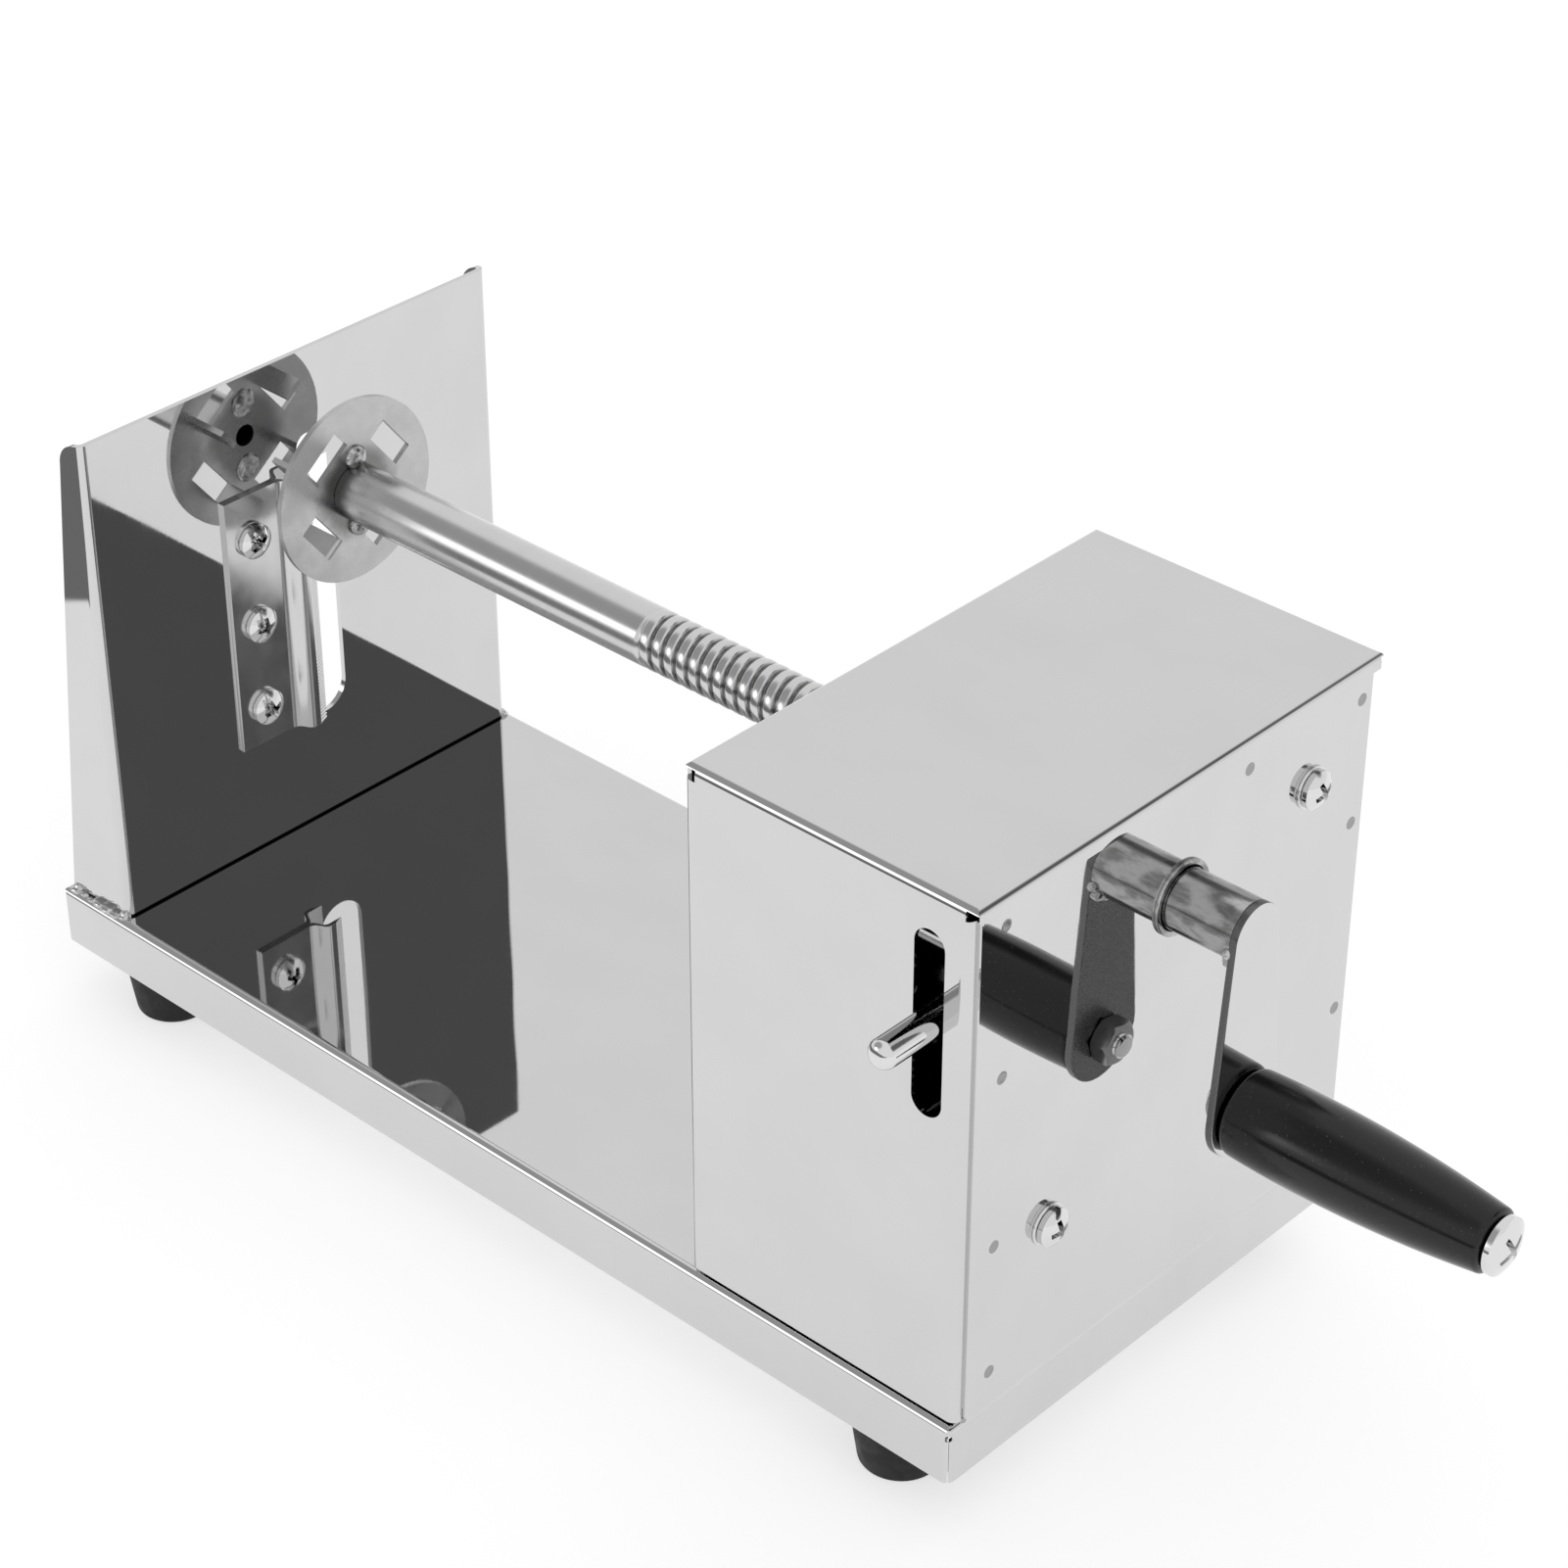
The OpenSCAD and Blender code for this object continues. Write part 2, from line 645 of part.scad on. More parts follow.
// The half nut rides on the thread from above, in mesh with it. Its inner and outer skins share their rows, and
// every row before or after its ends falls on the end
module half_nut() {
    c0 = nut_cols[0];
    c1 = nut_cols[1];
    cols = c1 - c0 + 1;
    x0 = lever_x - half_nut_l / 2 - thread_x0;
    x1 = x0 + half_nut_l;
    crest = spindle_d / 2 + nut_play_r;
    k0 = 4 * floor(x0 / pitch) - 4;
    rows = 4 * ceil(half_nut_l / pitch) + 12;
    function id(k, j) = let (x = row_x(k0 + k, j, nut_shares))
        (x <= x0 ? 0 : x >= x1 ? rows - 1 : k) * cols + j - c0;
    function held_x(k, j) = k == 0 ? x0 : k == rows - 1 ? x1 : row_x(k0 + k, j, nut_shares);
    function held_r(k) = k == 0 || k == rows - 1 ? crest : row_r(k0 + k, crest, crest - thread_depth);
    out = rows * cols;
    points = concat(
        [for (k = [0 : rows - 1], j = [c0 : c1]) col_point(held_x(k, j), held_r(k), j)],
        [for (k = [0 : rows - 1], j = [c0 : c1]) col_point(held_x(k, j), half_nut_r, j)]);
    skins = [for (k = [0 : rows - 2], j = [c0 : c1 - 1])
        let (a = id(k, j), b = id(k, j + 1), c = id(k + 1, j + 1), d = id(k + 1, j))
            each [[a, c, d], [a, b, c], [out + a, out + d, out + c], [out + a, out + c, out + b]]];
    sides = [for (k = [0 : rows - 2]) let (a = id(k, c0), d = id(k + 1, c0), b = id(k, c1), c = id(k + 1, c1))
        each [[a, d, out + d], [a, out + d, out + a], [b, out + c, c], [b, out + b, out + c]]];
    ends = [for (j = [c0 : c1 - 1]) let (a = j - c0, b = (rows - 1) * cols + a)
        each [[a, out + a, out + a + 1], [a, out + a + 1, a + 1],
            [b, out + b + 1, out + b], [b, b + 1, out + b + 1]]];
    color(satin) translate([thread_x0, 0, axis_z])
        polyhedron(points, concat([for (f = concat(skins, sides)) if (whole(f)) f], ends), convexity = 10);
}

// A prong's side view, as (run of its window, height over the disc's inner face): it turns a round corner out of
// the disc and points away from the tube
module prong2d() {
    intersection() {
        circle(disc_t);
        translate([-disc_t, -fit_gap]) square(disc_t + fit_gap);
    }
    translate([-disc_t, -prong_l]) square([disc_t, prong_l]);
}

module fork_disc() {
    color(satin) translate([disc_x, 0, axis_z]) along_x() {
        difference() {
            cylinder(d = disc_d, h = disc_t);
            translate([0, 0, -over]) cylinder(d = disc_hole_d, h = disc_t + 2 * over);
            at_windows() translate([-window_w / 2, -window_l / 2, -over])
                cube([window_w, window_l, disc_t + 2 * over]);
        }
        at_windows() translate([-window_w / 2, window_l / 2 + fit_gap, 0]) rotate([90, 0, 90])
            linear_extrude(window_w) prong2d();
    }
}

// The four windows in the disc's own plane, each turned so that its long side runs round the axis
module at_windows() {
    for (i = [0 : 3]) rotate(90 * i + 90 + window_turn) translate([window_r, 0, 0]) children();
}

// A round cap of weld metal: its base lies at the origin and it rises along +X
module weld_cap(r, h) {
    ball_r = (r * r + h * h) / (2 * h);
    along_x() intersection() {
        translate([0, 0, h - ball_r]) sphere(ball_r);
        cylinder(r = r + over, h = h + over);
    }
}

// Two tack welds above and below the tube: a bead in the corner of disc and tube, and its burn on the far face
module tack_welds() {
    color(satin) translate([disc_x, 0, axis_z]) for (s = [-1, 1]) {
        difference() {
            translate([disc_t, 0, s * tack_up]) weld_cap(tack_r, tack_h);
            along_x() cylinder(r = spindle_d / 2 + fit_gap, h = 2 * tack_h + disc_t);
        }
        translate([0, 0, s * tack_up]) mirror([1, 0, 0]) weld_cap(tack_r, burn_h);
    }
}

module crank_stud() {
    color(satin) translate([hub_x, 0, axis_z]) along_x() {
        translate([0, 0, -stud_l]) cylinder(r = bore_r, h = stud_l);
        cylinder(d = stud_d, h = arm_x - hub_x);
    }
}

module crank_hub() {
    color(satin) translate([hub_x + fit_gap, 0, axis_z]) along_x() difference() {
        cylinder(d = spindle_d, h = arm_x - hub_x - 2 * fit_gap);
        translate([0, 0, -over]) cylinder(d = stud_d + 2 * stud_play, h = arm_x - hub_x + 2 * over);
    }
}

function arc(at, r, a0, a1) = [for (i = [0 : arc_steps]) let (a = a0 + (a1 - a0) * i / arc_steps)
    at + r * [cos(a), sin(a)]];

// The arm hangs straight down: a drop with the hub's width at the top
module crank_arm() {
    r0 = spindle_d / 2;
    r1 = arm_end_d / 2;
    lean = asin((r1 - r0) / crank_r);
    color(bright) translate([arm_x, 0, 0]) rotate([90, 0, 90]) linear_extrude(arm_t) difference() {
        polygon(concat(arc([0, axis_z], r0, lean, 180 - lean), arc([0, grip_z], r1, 180 - lean, 360 + lean)));
        translate([0, grip_z]) circle(d = bolt_d + 2 * hole_gap);
    }
}

module grip_bolt() {
    reach = end_play + grip_l + end_play;
    color(bright) translate([arm_x + arm_t + reach, 0, grip_z])
        pan_screw(bolt_d, bolt_head_d, bolt_head_h, reach + arm_t + m6_nut_h * bolt_d / m6_d + tip_l);
}

module grip_nut() {
    h = m6_nut_h * bolt_d / m6_d;
    color(satin) translate([arm_x - h, 0, grip_z]) hex_nut(bolt_d, m6_nut_d * bolt_d / m6_d, h);
}

// Radius of the grip at the share u of its length: a parabola through the root, the belly and the end
belly_share = 0.3;
function grip_r(u) =
    let (a = grip_root_d / 2, b = grip_belly_d / 2, c = grip_end_d / 2, m = belly_share)
    a * (u - m) * (u - 1) / m + b * u * (u - 1) / (m * (m - 1)) + c * u * (u - m) / (1 - m);
grip_steps = 18;
edge_steps = 4;
arc_steps = 32;

module handle_grip() {
    ends = grip_edge_r / grip_l;
    body = [for (i = [0 : grip_steps]) let (u = ends + (1 - 2 * ends) * i / grip_steps) [grip_r(u), u * grip_l]];
    root_edge = [for (i = [0 : edge_steps - 1]) let (a = 90 * i / edge_steps)
        [grip_r(ends) - grip_edge_r * (1 - sin(a)), grip_edge_r * (1 - cos(a))]];
    outer_edge = [for (i = [1 : edge_steps]) let (a = 90 * i / edge_steps)
        [grip_r(1 - ends) - grip_edge_r * (1 - cos(a)), grip_l - grip_edge_r * (1 - sin(a))]];
    color(plastic) translate([arm_x + arm_t + end_play, 0, grip_z]) along_x() difference() {
        rotate_extrude() polygon(concat([[0, 0]], root_edge, body, outer_edge, [[0, grip_l]]));
        translate([0, 0, -over]) cylinder(d = bolt_d + 2 * grip_play, h = grip_l + 2 * over);
    }
}

// The lever as seen from the crank's end, as (y, z): an arch over the spindle, with the pivot on one side and
// the pin's arm on the other
module lever2d() {
    arch_r = half_nut_r + lever_arch_w;
    side = half_nut_r + lever_arch_w / 2;
    difference() {
        union() {
            bar2d([pivot_y, pivot_z], [side, axis_z + pivot_up], lever_w);
            translate([pivot_y, pivot_z]) circle(pivot_boss_r);
            translate([0, axis_z]) circle(arch_r);
            translate([-arch_r, pin_z - lever_w / 2]) square([lever_arch_w, pin_drop + lever_w / 2]);
            translate([-lever_end, pin_z - lever_w / 2]) square([lever_end - half_nut_r, lever_w]);
        }
        translate([0, axis_z]) circle(half_nut_r);
        translate([-half_nut_r, pin_z - arch_r]) square([2 * arch_r, arch_r + pin_drop]);
        translate([-lever_end - over, pin_z + pin_d / 2 - fit_gap]) square([over + tongue_l, lever_w]);
        translate([-lever_end - over, pin_z - pin_d / 2 + fit_gap - lever_w]) square([over + tongue_l, lever_w]);
        translate([pivot_y, pivot_z]) circle(d = shoulder_d + 2 * shoulder_play);
        translate([-anchor_y, pin_z - lever_w / 2 + hook_up]) circle(d = hook_hole_d);
    }
}

module release_lever() {
    color(satin) translate([lever_x - lever_t / 2, 0, 0]) rotate([90, 0, 90]) linear_extrude(lever_t) lever2d();
}

// The pin is slit to take the lever's tongue, and its outer end is round
module lever_pin() {
    inner = lever_end - tongue_l;
    outer = house_y + pin_out;
    color(bright) translate([lever_x, 0, pin_z]) difference() {
        rotate([90, 0, 0]) {
            translate([0, 0, inner]) cylinder(d = pin_d, h = outer - inner - pin_d / 2);
            translate([0, 0, outer - pin_d / 2]) sphere(d = pin_d);
        }
        translate([-lever_t / 2 - fit_gap, -lever_end - fit_gap, -pin_d])
            cube([lever_t + 2 * fit_gap, lever_end, 2 * pin_d]);
    }
}

module pivot_screw() {
    color(bright) translate([rear_x + washer_t, pivot_y, pivot_z])
        pan_screw(m5_d, m5_head_d, m5_head_h, washer_t + lever_set + lever_t / 2 + end_play + m5_nut_h + tip_l);
}

module pivot_washer() {
    color(bright) translate([rear_x, pivot_y, pivot_z]) flat_washer(m5_d, washer_d, washer_t);
}

// The spacer holds the lever off the panel, and the lever turns on its thinner end
module pivot_spacer() {
    color(satin) translate([rear_x - sheet_t, pivot_y, pivot_z]) rotate([0, -90, 0]) difference() {
        union() {
            cylinder(d = spacer_d, h = spacer_reach - sheet_t);
            cylinder(d = shoulder_d, h = spacer_reach - sheet_t + lever_t + end_play);
        }
        translate([0, 0, -over]) cylinder(d = m5_d + 2 * fit_gap, h = 2 * lever_set);
    }
}

module pivot_nut() {
    color(satin) translate([lever_x - lever_t / 2 - end_play - m5_nut_h, pivot_y, pivot_z])
        hex_nut(m5_d, m5_nut_d, m5_nut_h);
}

module anchor_screw() {
    color(bright) translate([rear_x + washer_t, -anchor_y, anchor_z])
        pan_screw(m5_d, m5_head_d, m5_head_h, washer_t + lever_set + wire_d + tip_l);
}

module anchor_washer() {
    color(bright) translate([rear_x, -anchor_y, anchor_z]) flat_washer(m5_d, washer_d, washer_t);
}

module anchor_nut() {
    color(satin) translate([rear_x - sheet_t - m5_nut_h, -anchor_y, anchor_z]) hex_nut(m5_d, m5_nut_d, m5_nut_h);
}

// The spring's wire: a loop round the anchor screw, a straight run, the coils, a straight run and the hook
// through the lever's hole
hook_z = pin_z - lever_w / 2 + hook_up - loop_r;
coil_z0 = anchor_z + coil_run;
coil_z1 = hook_z - coil_run;
loop_steps = 10;
hook_steps = 10;
coil_steps = spring_turns * coil_rings + coil_rings / 4;
spring_path = concat(
    [for (i = [0 : loop_steps]) let (a = 30 - 210 * i / loop_steps)
        [0, loop_r * cos(a), anchor_z + loop_r * sin(a)]],
    [for (i = [0 : coil_steps]) let (a = 360 * i / coil_rings)
        [loop_r * sin(a), -loop_r * cos(a), coil_z0 + (coil_z1 - coil_z0) * i / coil_steps]],
    [for (i = [0 : hook_steps]) let (a = 210 * i / hook_steps)
        [loop_r * cos(a), 0, hook_z + loop_r * sin(a)]]);

// The least gap between one turn and the next
turn_gap = min([for (i = [loop_steps + 1 : loop_steps + 1 + coil_steps - coil_rings])
    norm(spring_path[i + coil_rings] - spring_path[i])]) - wire_d;
echo(turn_gap = turn_gap);

function unit(v) = v / norm(v);
function heading(p, i) = unit(p[min(i + 1, len(p) - 1)] - p[max(i - 1, 0)]);
function square_to(v, t) = unit(v - (v * t) * t);

// A tube of wire along the points p
module wire(p, d, sides) {
    last = len(p) - 1;
    ups = [for (i = 0, u = square_to([1, 0, 0], heading(p, 0)); i <= last;
        i = i + 1, u = i <= last ? square_to(u, heading(p, i)) : u) u];
    rings = [for (i = [0 : last]) let (t = heading(p, i), v = cross(t, ups[i]))
        each [for (s = [0 : sides - 1]) let (a = 360 * s / sides) p[i] + d / 2 * (cos(a) * ups[i] + sin(a) * v)]];
    skin = [for (i = [0 : last - 1], s = [0 : sides - 1])
        let (a = i * sides + s, b = i * sides + (s + 1) % sides)
            each [[a, a + sides, b + sides], [a, b + sides, b]]];
    caps = [[for (s = [0 : sides - 1]) s], [for (s = [sides - 1 : -1 : 0]) last * sides + s]];
    polyhedron(rings, concat(skin, caps), convexity = 10);
}

module return_spring() {
    color(satin) translate([lever_x, -anchor_y, 0]) wire(spring_path, wire_d, wire_sides);
}

base_tray();
rubber_feet();
foot_screws();
foot_nuts();
blade_plate();
slicing_knife();
knife_screws();
knife_nuts();
housing_cover();
front_panel();
rear_panel();
front_bushing();
rear_bushing();
spindle_tube();
feed_screw();
fork_disc();
tack_welds();
crank_stud();
crank_hub();
crank_arm();
grip_bolt();
grip_nut();
handle_grip();
release_lever();
half_nut();
lever_pin();
pivot_screw();
pivot_washer();
pivot_spacer();
pivot_nut();
return_spring();
anchor_screw();
anchor_washer();
anchor_nut();
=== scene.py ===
"""A hand cranked tornado potato cutter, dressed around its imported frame.

Mirror polished sheet, a turned spindle with a rolled feed thread, plated screws, welds and a moulded grip.
"""

import json
import math

import bmesh
import bpy
from bpy.props import FloatProperty, FloatVectorProperty, IntProperty, PointerProperty
from bpy.types import Operator, Panel, PropertyGroup
from mathutils import Matrix, Vector, noise


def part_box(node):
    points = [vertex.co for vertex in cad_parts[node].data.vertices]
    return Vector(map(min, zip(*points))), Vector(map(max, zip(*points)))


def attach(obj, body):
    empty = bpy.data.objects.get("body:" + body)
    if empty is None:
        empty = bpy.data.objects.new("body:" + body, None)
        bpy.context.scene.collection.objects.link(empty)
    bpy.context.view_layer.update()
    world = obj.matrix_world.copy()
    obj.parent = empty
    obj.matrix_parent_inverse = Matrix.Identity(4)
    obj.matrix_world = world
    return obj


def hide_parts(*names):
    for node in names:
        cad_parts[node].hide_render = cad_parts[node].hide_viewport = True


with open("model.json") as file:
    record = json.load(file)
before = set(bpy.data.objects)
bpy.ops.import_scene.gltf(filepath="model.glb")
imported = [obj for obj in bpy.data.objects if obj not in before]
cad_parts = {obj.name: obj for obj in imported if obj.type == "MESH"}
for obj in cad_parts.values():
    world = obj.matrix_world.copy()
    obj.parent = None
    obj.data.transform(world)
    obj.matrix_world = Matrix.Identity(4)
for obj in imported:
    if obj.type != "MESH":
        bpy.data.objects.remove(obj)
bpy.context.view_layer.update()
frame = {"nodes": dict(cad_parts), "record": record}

bl_info = {
    "name": "Tornado potato cutter",
    "version": (1, 0, 0),
    "blender": (4, 5, 0),
    "location": "View3D > Sidebar > Cutter",
    "description": "Dresses the cutter's frame with polished sheet, screws, welds and a moulded grip",
    "category": "Add Mesh",
}

# Modelling is in millimetres, and the scene is in metres
MM = 0.001
# Points nearer than this are one point
TOUCH = 0.001
# Thickness of the tray, the cover, the panels and the knife
SHEET = 1.2
# M5 screws: thread, hole for it, head's diameter and height, and the nut across its flats
M5_D, M5_HOLE_D, M5_HEAD_D, M5_HEAD_H, M5_FLATS = 5, 5.5, 9.6, 3.6, 8
# The grip's M6 bolt: thread, head's diameter and height, and the nut across its flats
M6_D, M6_HEAD_D, M6_HEAD_H, M6_FLATS = 6, 14, 3.8, 10

BODY = {node: body for body, nodes in frame["record"]["behaviour"]["bodies"].items() for node in nodes}


def box_mm(node):
    """Lowest and highest corner of a node, in millimetres."""
    low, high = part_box(node)
    return low / MM, high / MM


def centre_mm(node):
    low, high = box_mm(node)
    return (low + high) / 2


def linear(code):
    """An sRGB hex colour as linear red, green and blue."""
    shares = [int(code[i : i + 2], 16) / 255 for i in (1, 3, 5)]
    return tuple(s / 12.92 if s <= 0.04045 else ((s + 0.055) / 1.055) ** 2.4 for s in shares)


def colour(name, about, code):
    return FloatVectorProperty(
        name=name, description=about, subtype="COLOR", size=3, min=0, max=1, default=linear(code)
    )


def number(name, about, value, high, low=0, **settings):
    return FloatProperty(name=name, description=about, min=low, max=high, default=value, **settings)


def length(name, about, millimetres, high):
    return number(name, about, millimetres * MM, high * MM, unit="LENGTH")


class CutterMetal(PropertyGroup):
    """Colours and edges of the metal pieces."""

    polished: colour("Polished sheet", "Mirror polished stainless sheet", "#d3d3d3")
    # Painted shade: a dark line along the joints under the panel lips and at the blade plate's foot, standing
    # in for the shadow in the gap
    compound: colour("Joint_shade", "Dark polishing compound left in the joints", "#0c0c0c")
    turned: colour("Turned steel", "Turned and brushed stainless tube", "#d0d0d0")
    ground: colour("Ground steel", "Satin ground stainless", "#c0c0c0")
    pressed: colour("Pressed steel", "Rings that spot welding presses into the sheet", "#9c9c9c")
    # The rim's dullness is real; on the arm's back this dark colour is painted shade, as the back faces the
    # panel in shade
    sawn: colour("Sawn steel", "Dull rim and back of the crank arm", "#6e6e6e")
    hub: colour("Hub steel", "Worn hub of the crank", "#bababa")
    plated: colour("Plated screws", "Bright plated screws and washers", "#dcdcdc")
    dulled: colour("Dulled plating", "Plated nut of the grip, dulled in use", "#9e9e9e")
    # Real heat tint, and also the colour of the painted shade in the feed thread's grooves
    tint: colour("Heat tint", "Colour that welding leaves on stainless steel", "#464442")
    brass: colour("Brass", "Machined brass of the half nut", "#b99a55")
    edge: length("Broken edge", "Width of the broken edges of cut sheet", 0.25, 1)
    fine_edge: length("Fine edge", "Width of the broken edges of small steel pieces", 0.15, 1)


class CutterBlack(PropertyGroup):
    """Colours of the plastic and rubber pieces."""

    grip: colour("Grip", "Black moulded plastic of the grip", "#0b0b0b")
    specks: colour("Specks", "Pale dust on the grip", "#8c8c8c")
    rubber: colour("Feet", "Black moulded rubber of the feet", "#101010")
    dust: colour("Dust", "Grey dust on the feet", "#6a6a6a")


class CutterThread(PropertyGroup):
    """Sizes of the feed thread."""

    pitch: length("Pitch", "Advance of the spindle in one turn", 4, 10)
    depth: length("Depth", "Depth of the rolled groove", 1, 2)
    columns: IntProperty(name="Columns", description="Faces round the thread", min=16, max=128, default=56)


class CutterStudio(PropertyGroup):
    """Light, floor and lens."""

    lens: number("Lens", "Focal length in millimetres", 92.88, 300, low=10, unit="CAMERA")
    floor: colour("Floor", "Pale paper of the floor", "#bcbcbc")
    table: colour("Table", "Grey table past the paper's far end", "#868686")
    glow: number("Floor light", "Light that comes up through the floor", 0.62, 2)
    paper_end: length("Paper's end", "Distance of the paper's far end from the middle", 352, 2000)
    sky: number("Sky", "Brightness of the soft light all round", 0.92, 4)
    wall: number("Wall", "Brightness of the grey wall", 0.4, 4)
    doorway: number("Doorway", "Brightness of the dark doorway", 0.135, 4)
    strip: number("Strip", "Brightness of the strip light", 2.6, 20)


def add_node(tree, kind, inputs=None, **settings):
    """Adds a node with its settings. An input that is given as a socket is linked."""
    node = tree.nodes.new(kind)
    for name, value in settings.items():
        setattr(node, name, value)
    for name, value in (inputs or {}).items():
        if isinstance(value, bpy.types.NodeSocket):
            tree.links.new(value, node.inputs[name])
        else:
            node.inputs[name].default_value = value
    return node


def start_material(name, base, metallic):
    """A material with its Principled shader. Returns the material, its tree and the shader."""
    material = bpy.data.materials.new(name)
    material.use_nodes = True
    tree = material.node_tree
    shader = tree.nodes["Principled BSDF"]
    shader.inputs["Base Color"].default_value = (*base, 1)
    shader.inputs["Metallic"].default_value = metallic
    return material, tree, shader


def renamed(material, name):
    """Names a material, to change it further. Returns the material, its tree and the shader."""
    material.name = name
    return material, material.node_tree, material.node_tree.nodes["Principled BSDF"]


def shared(make):
    """A metal that several pieces have. It is made once, and is named as its function is."""
    return bpy.data.materials.get(make.__name__) or make(bpy.context.scene.cutter_metal)


def stretched_noise(tree, size_mm, detail=2.0):
    """Noise whose features measure size_mm along X, Y and Z."""
    place = add_node(tree, "ShaderNodeTexCoord").outputs["Object"]
    scale = [1 / (s * MM) for s in size_mm]
    scaled = add_node(tree, "ShaderNodeVectorMath", {0: place, 1: scale}, operation="MULTIPLY")
    inputs = {"Vector": scaled.outputs[0], "Scale": 1.0, "Detail": detail}
    return add_node(tree, "ShaderNodeTexNoise", inputs).outputs["Fac"]


def levels(tree, *parts):
    """Adds up parts, each given as (value, low, high, start, end).

    A part goes smoothly from start to end as its value goes from low to high, and is held at both ends.
    """
    total = None
    for value, low, high, start, end in parts:
        inputs = {"Value": value, "From Min": low, "From Max": high, "To Min": start, "To Max": end}
        part = add_node(tree, "ShaderNodeMapRange", inputs, interpolation_type="SMOOTHSTEP").outputs["Result"]
        if total is not None:
            part = add_node(tree, "ShaderNodeMath", {0: total, 1: part}, operation="ADD").outputs[0]
        total = part
    return total


def roughen(shader, *parts):
    """Sets the shader's roughness to the sum of parts."""
    tree = shader.id_data
    tree.links.new(levels(tree, *parts), shader.inputs["Roughness"])


def stain(shader, share, shade):
    """Turns the shader's colour to another shade, as far as share says."""
    tree, base = shader.id_data, shader.inputs["Base Color"]
    before = base.links[0].from_socket if base.links else tuple(base.default_value)
    inputs = {0: share, 6: before, 7: (*shade, 1)}
    tree.links.new(add_node(tree, "ShaderNodeMix", inputs, data_type="RGBA").outputs[2], base)


def raise_skin(shader, height, rise_mm, before=None):
    """Raises the shader's surface by rise_mm where height is 1."""
    tree = shader.id_data
    inputs = {"Height": height, "Distance": rise_mm * MM, "Strength": 1.0}
    if before is not None:
        inputs["Normal"] = before
    normal = add_node(tree, "ShaderNodeBump", inputs).outputs["Normal"]
    tree.links.new(normal, shader.inputs["Normal"])
    return normal


def mirror_polished_stainless(metal):
    """304 sheet, rolled and mirror polished: sharp reflections, a faint rolling grain and soft smears."""
    material, tree, shader = start_material("mirror_polished_stainless", metal.polished, 1)
    smears = stretched_noise(tree, (30, 22, 26), 3.0)
    grain = stretched_noise(tree, (26, 0.5, 14))
    scratches = stretched_noise(tree, (0.4, 60, 38), 0.0)
    roughen(shader, (smears, 0.4, 0.75, 0.012, 0.035), (grain, 0.3, 0.8, 0, 0.02))
    dim, scratched = levels(tree, (smears, 0.3, 0.7, 0, 0.14)), levels(tree, (scratches, 0.8, 0.83, 0, 0.14))
    worn = add_node(tree, "ShaderNodeMath", {0: dim, 1: scratched}, operation="MAXIMUM").outputs[0]
    stain(shader, worn, metal.ground)
    waves = raise_skin(shader, stretched_noise(tree, (70, 55, 60), 1.0), 0.15)
    raise_skin(shader, grain, 0.0005, waves)
    return material


def jointed_sheet(metal, name, clean_z, joint_z):
    """Polished sheet with a painted shade line along a joint, standing in for the shadow in the gap: from
    clean_z on to joint_z it grows dark.
    """
    material, tree, shader = renamed(mirror_polished_stainless(metal), name)
    place = add_node(tree, "ShaderNodeTexCoord").outputs["Object"]
    up = add_node(tree, "ShaderNodeSeparateXYZ", {0: place}).outputs["Z"]
    low, high = sorted((clean_z * MM, joint_z * MM))
    # Painted shade: the sheet's colour turns dark towards the joint
    painted_shade = levels(tree, (up, low, high, int(joint_z < clean_z), int(joint_z > clean_z)))
    stain(shader, painted_shade, metal.compound)
    return material


def turned_stainless(metal):
    """Drawn tube, turned and brushed round its axis: soft reflections drawn out along it, with fine rings."""
    material, tree, shader = start_material("turned_stainless", metal.turned, 1)
    rings = stretched_noise(tree, (0.35, 9, 9), 3.0)
    coarse = stretched_noise(tree, (7, 18, 18))
    roughen(shader, (rings, 0.25, 0.75, 0.19, 0.25))
    stain(shader, levels(tree, (coarse, 0.35, 0.8, 0, 0.2)), metal.ground)
    raise_skin(shader, rings, 0.0006)
    return material


def rolled_thread_steel(metal, axis_z, crest, depth):
    """Thread rolled into the tube and burnished: bright crests, with painted shade in the grooves."""
    material, tree, shader = start_material("rolled_thread_steel", metal.turned, 1)
    rubbed = stretched_noise(tree, (4, 3, 3))
    roughen(shader, (rubbed, 0.3, 0.7, 0.12, 0.22))
    place = add_node(tree, "ShaderNodeTexCoord").outputs["Object"]
    axis = (0, 0, axis_z * MM)
    from_axis = add_node(tree, "ShaderNodeVectorMath", {0: place, 1: axis}, operation="SUBTRACT").outputs[0]
    inputs = {0: from_axis, 1: (0, 1, 1)}
    across = add_node(tree, "ShaderNodeVectorMath", inputs, operation="MULTIPLY").outputs[0]
    radius = add_node(tree, "ShaderNodeVectorMath", {0: across}, operation="LENGTH").outputs["Value"]
    # Painted shade: the colour darkens towards the groove's floor, where shade falls
    groove_shade = levels(tree, (radius, (crest - depth) * MM, (crest - depth * 0.2) * MM, 0.85, 0))
    stain(shader, groove_shade, metal.tint)
    return material


def heat_tinted_stainless(metal, hot_x, reach_mm):
    """Turned tube that welding has darkened at its end."""
    material, tree, shader = renamed(turned_stainless(metal), "heat_tinted_turned_stainless")
    place = add_node(tree, "ShaderNodeTexCoord").outputs["Object"]
    along = add_node(tree, "ShaderNodeSeparateXYZ", {0: place}).outputs["X"]
    inputs = {0: stretched_noise(tree, (8, 5, 5)), 1: reach_mm * MM}
    uneven = add_node(tree, "ShaderNodeMath", inputs, operation="MULTIPLY").outputs[0]
    away = add_node(tree, "ShaderNodeMath", {0: along, 1: uneven}, operation="SUBTRACT").outputs[0]
    stain(shader, levels(tree, (away, hot_x * MM, (hot_x + reach_mm) * MM, 0.7, 0)), metal.tint)
    return material


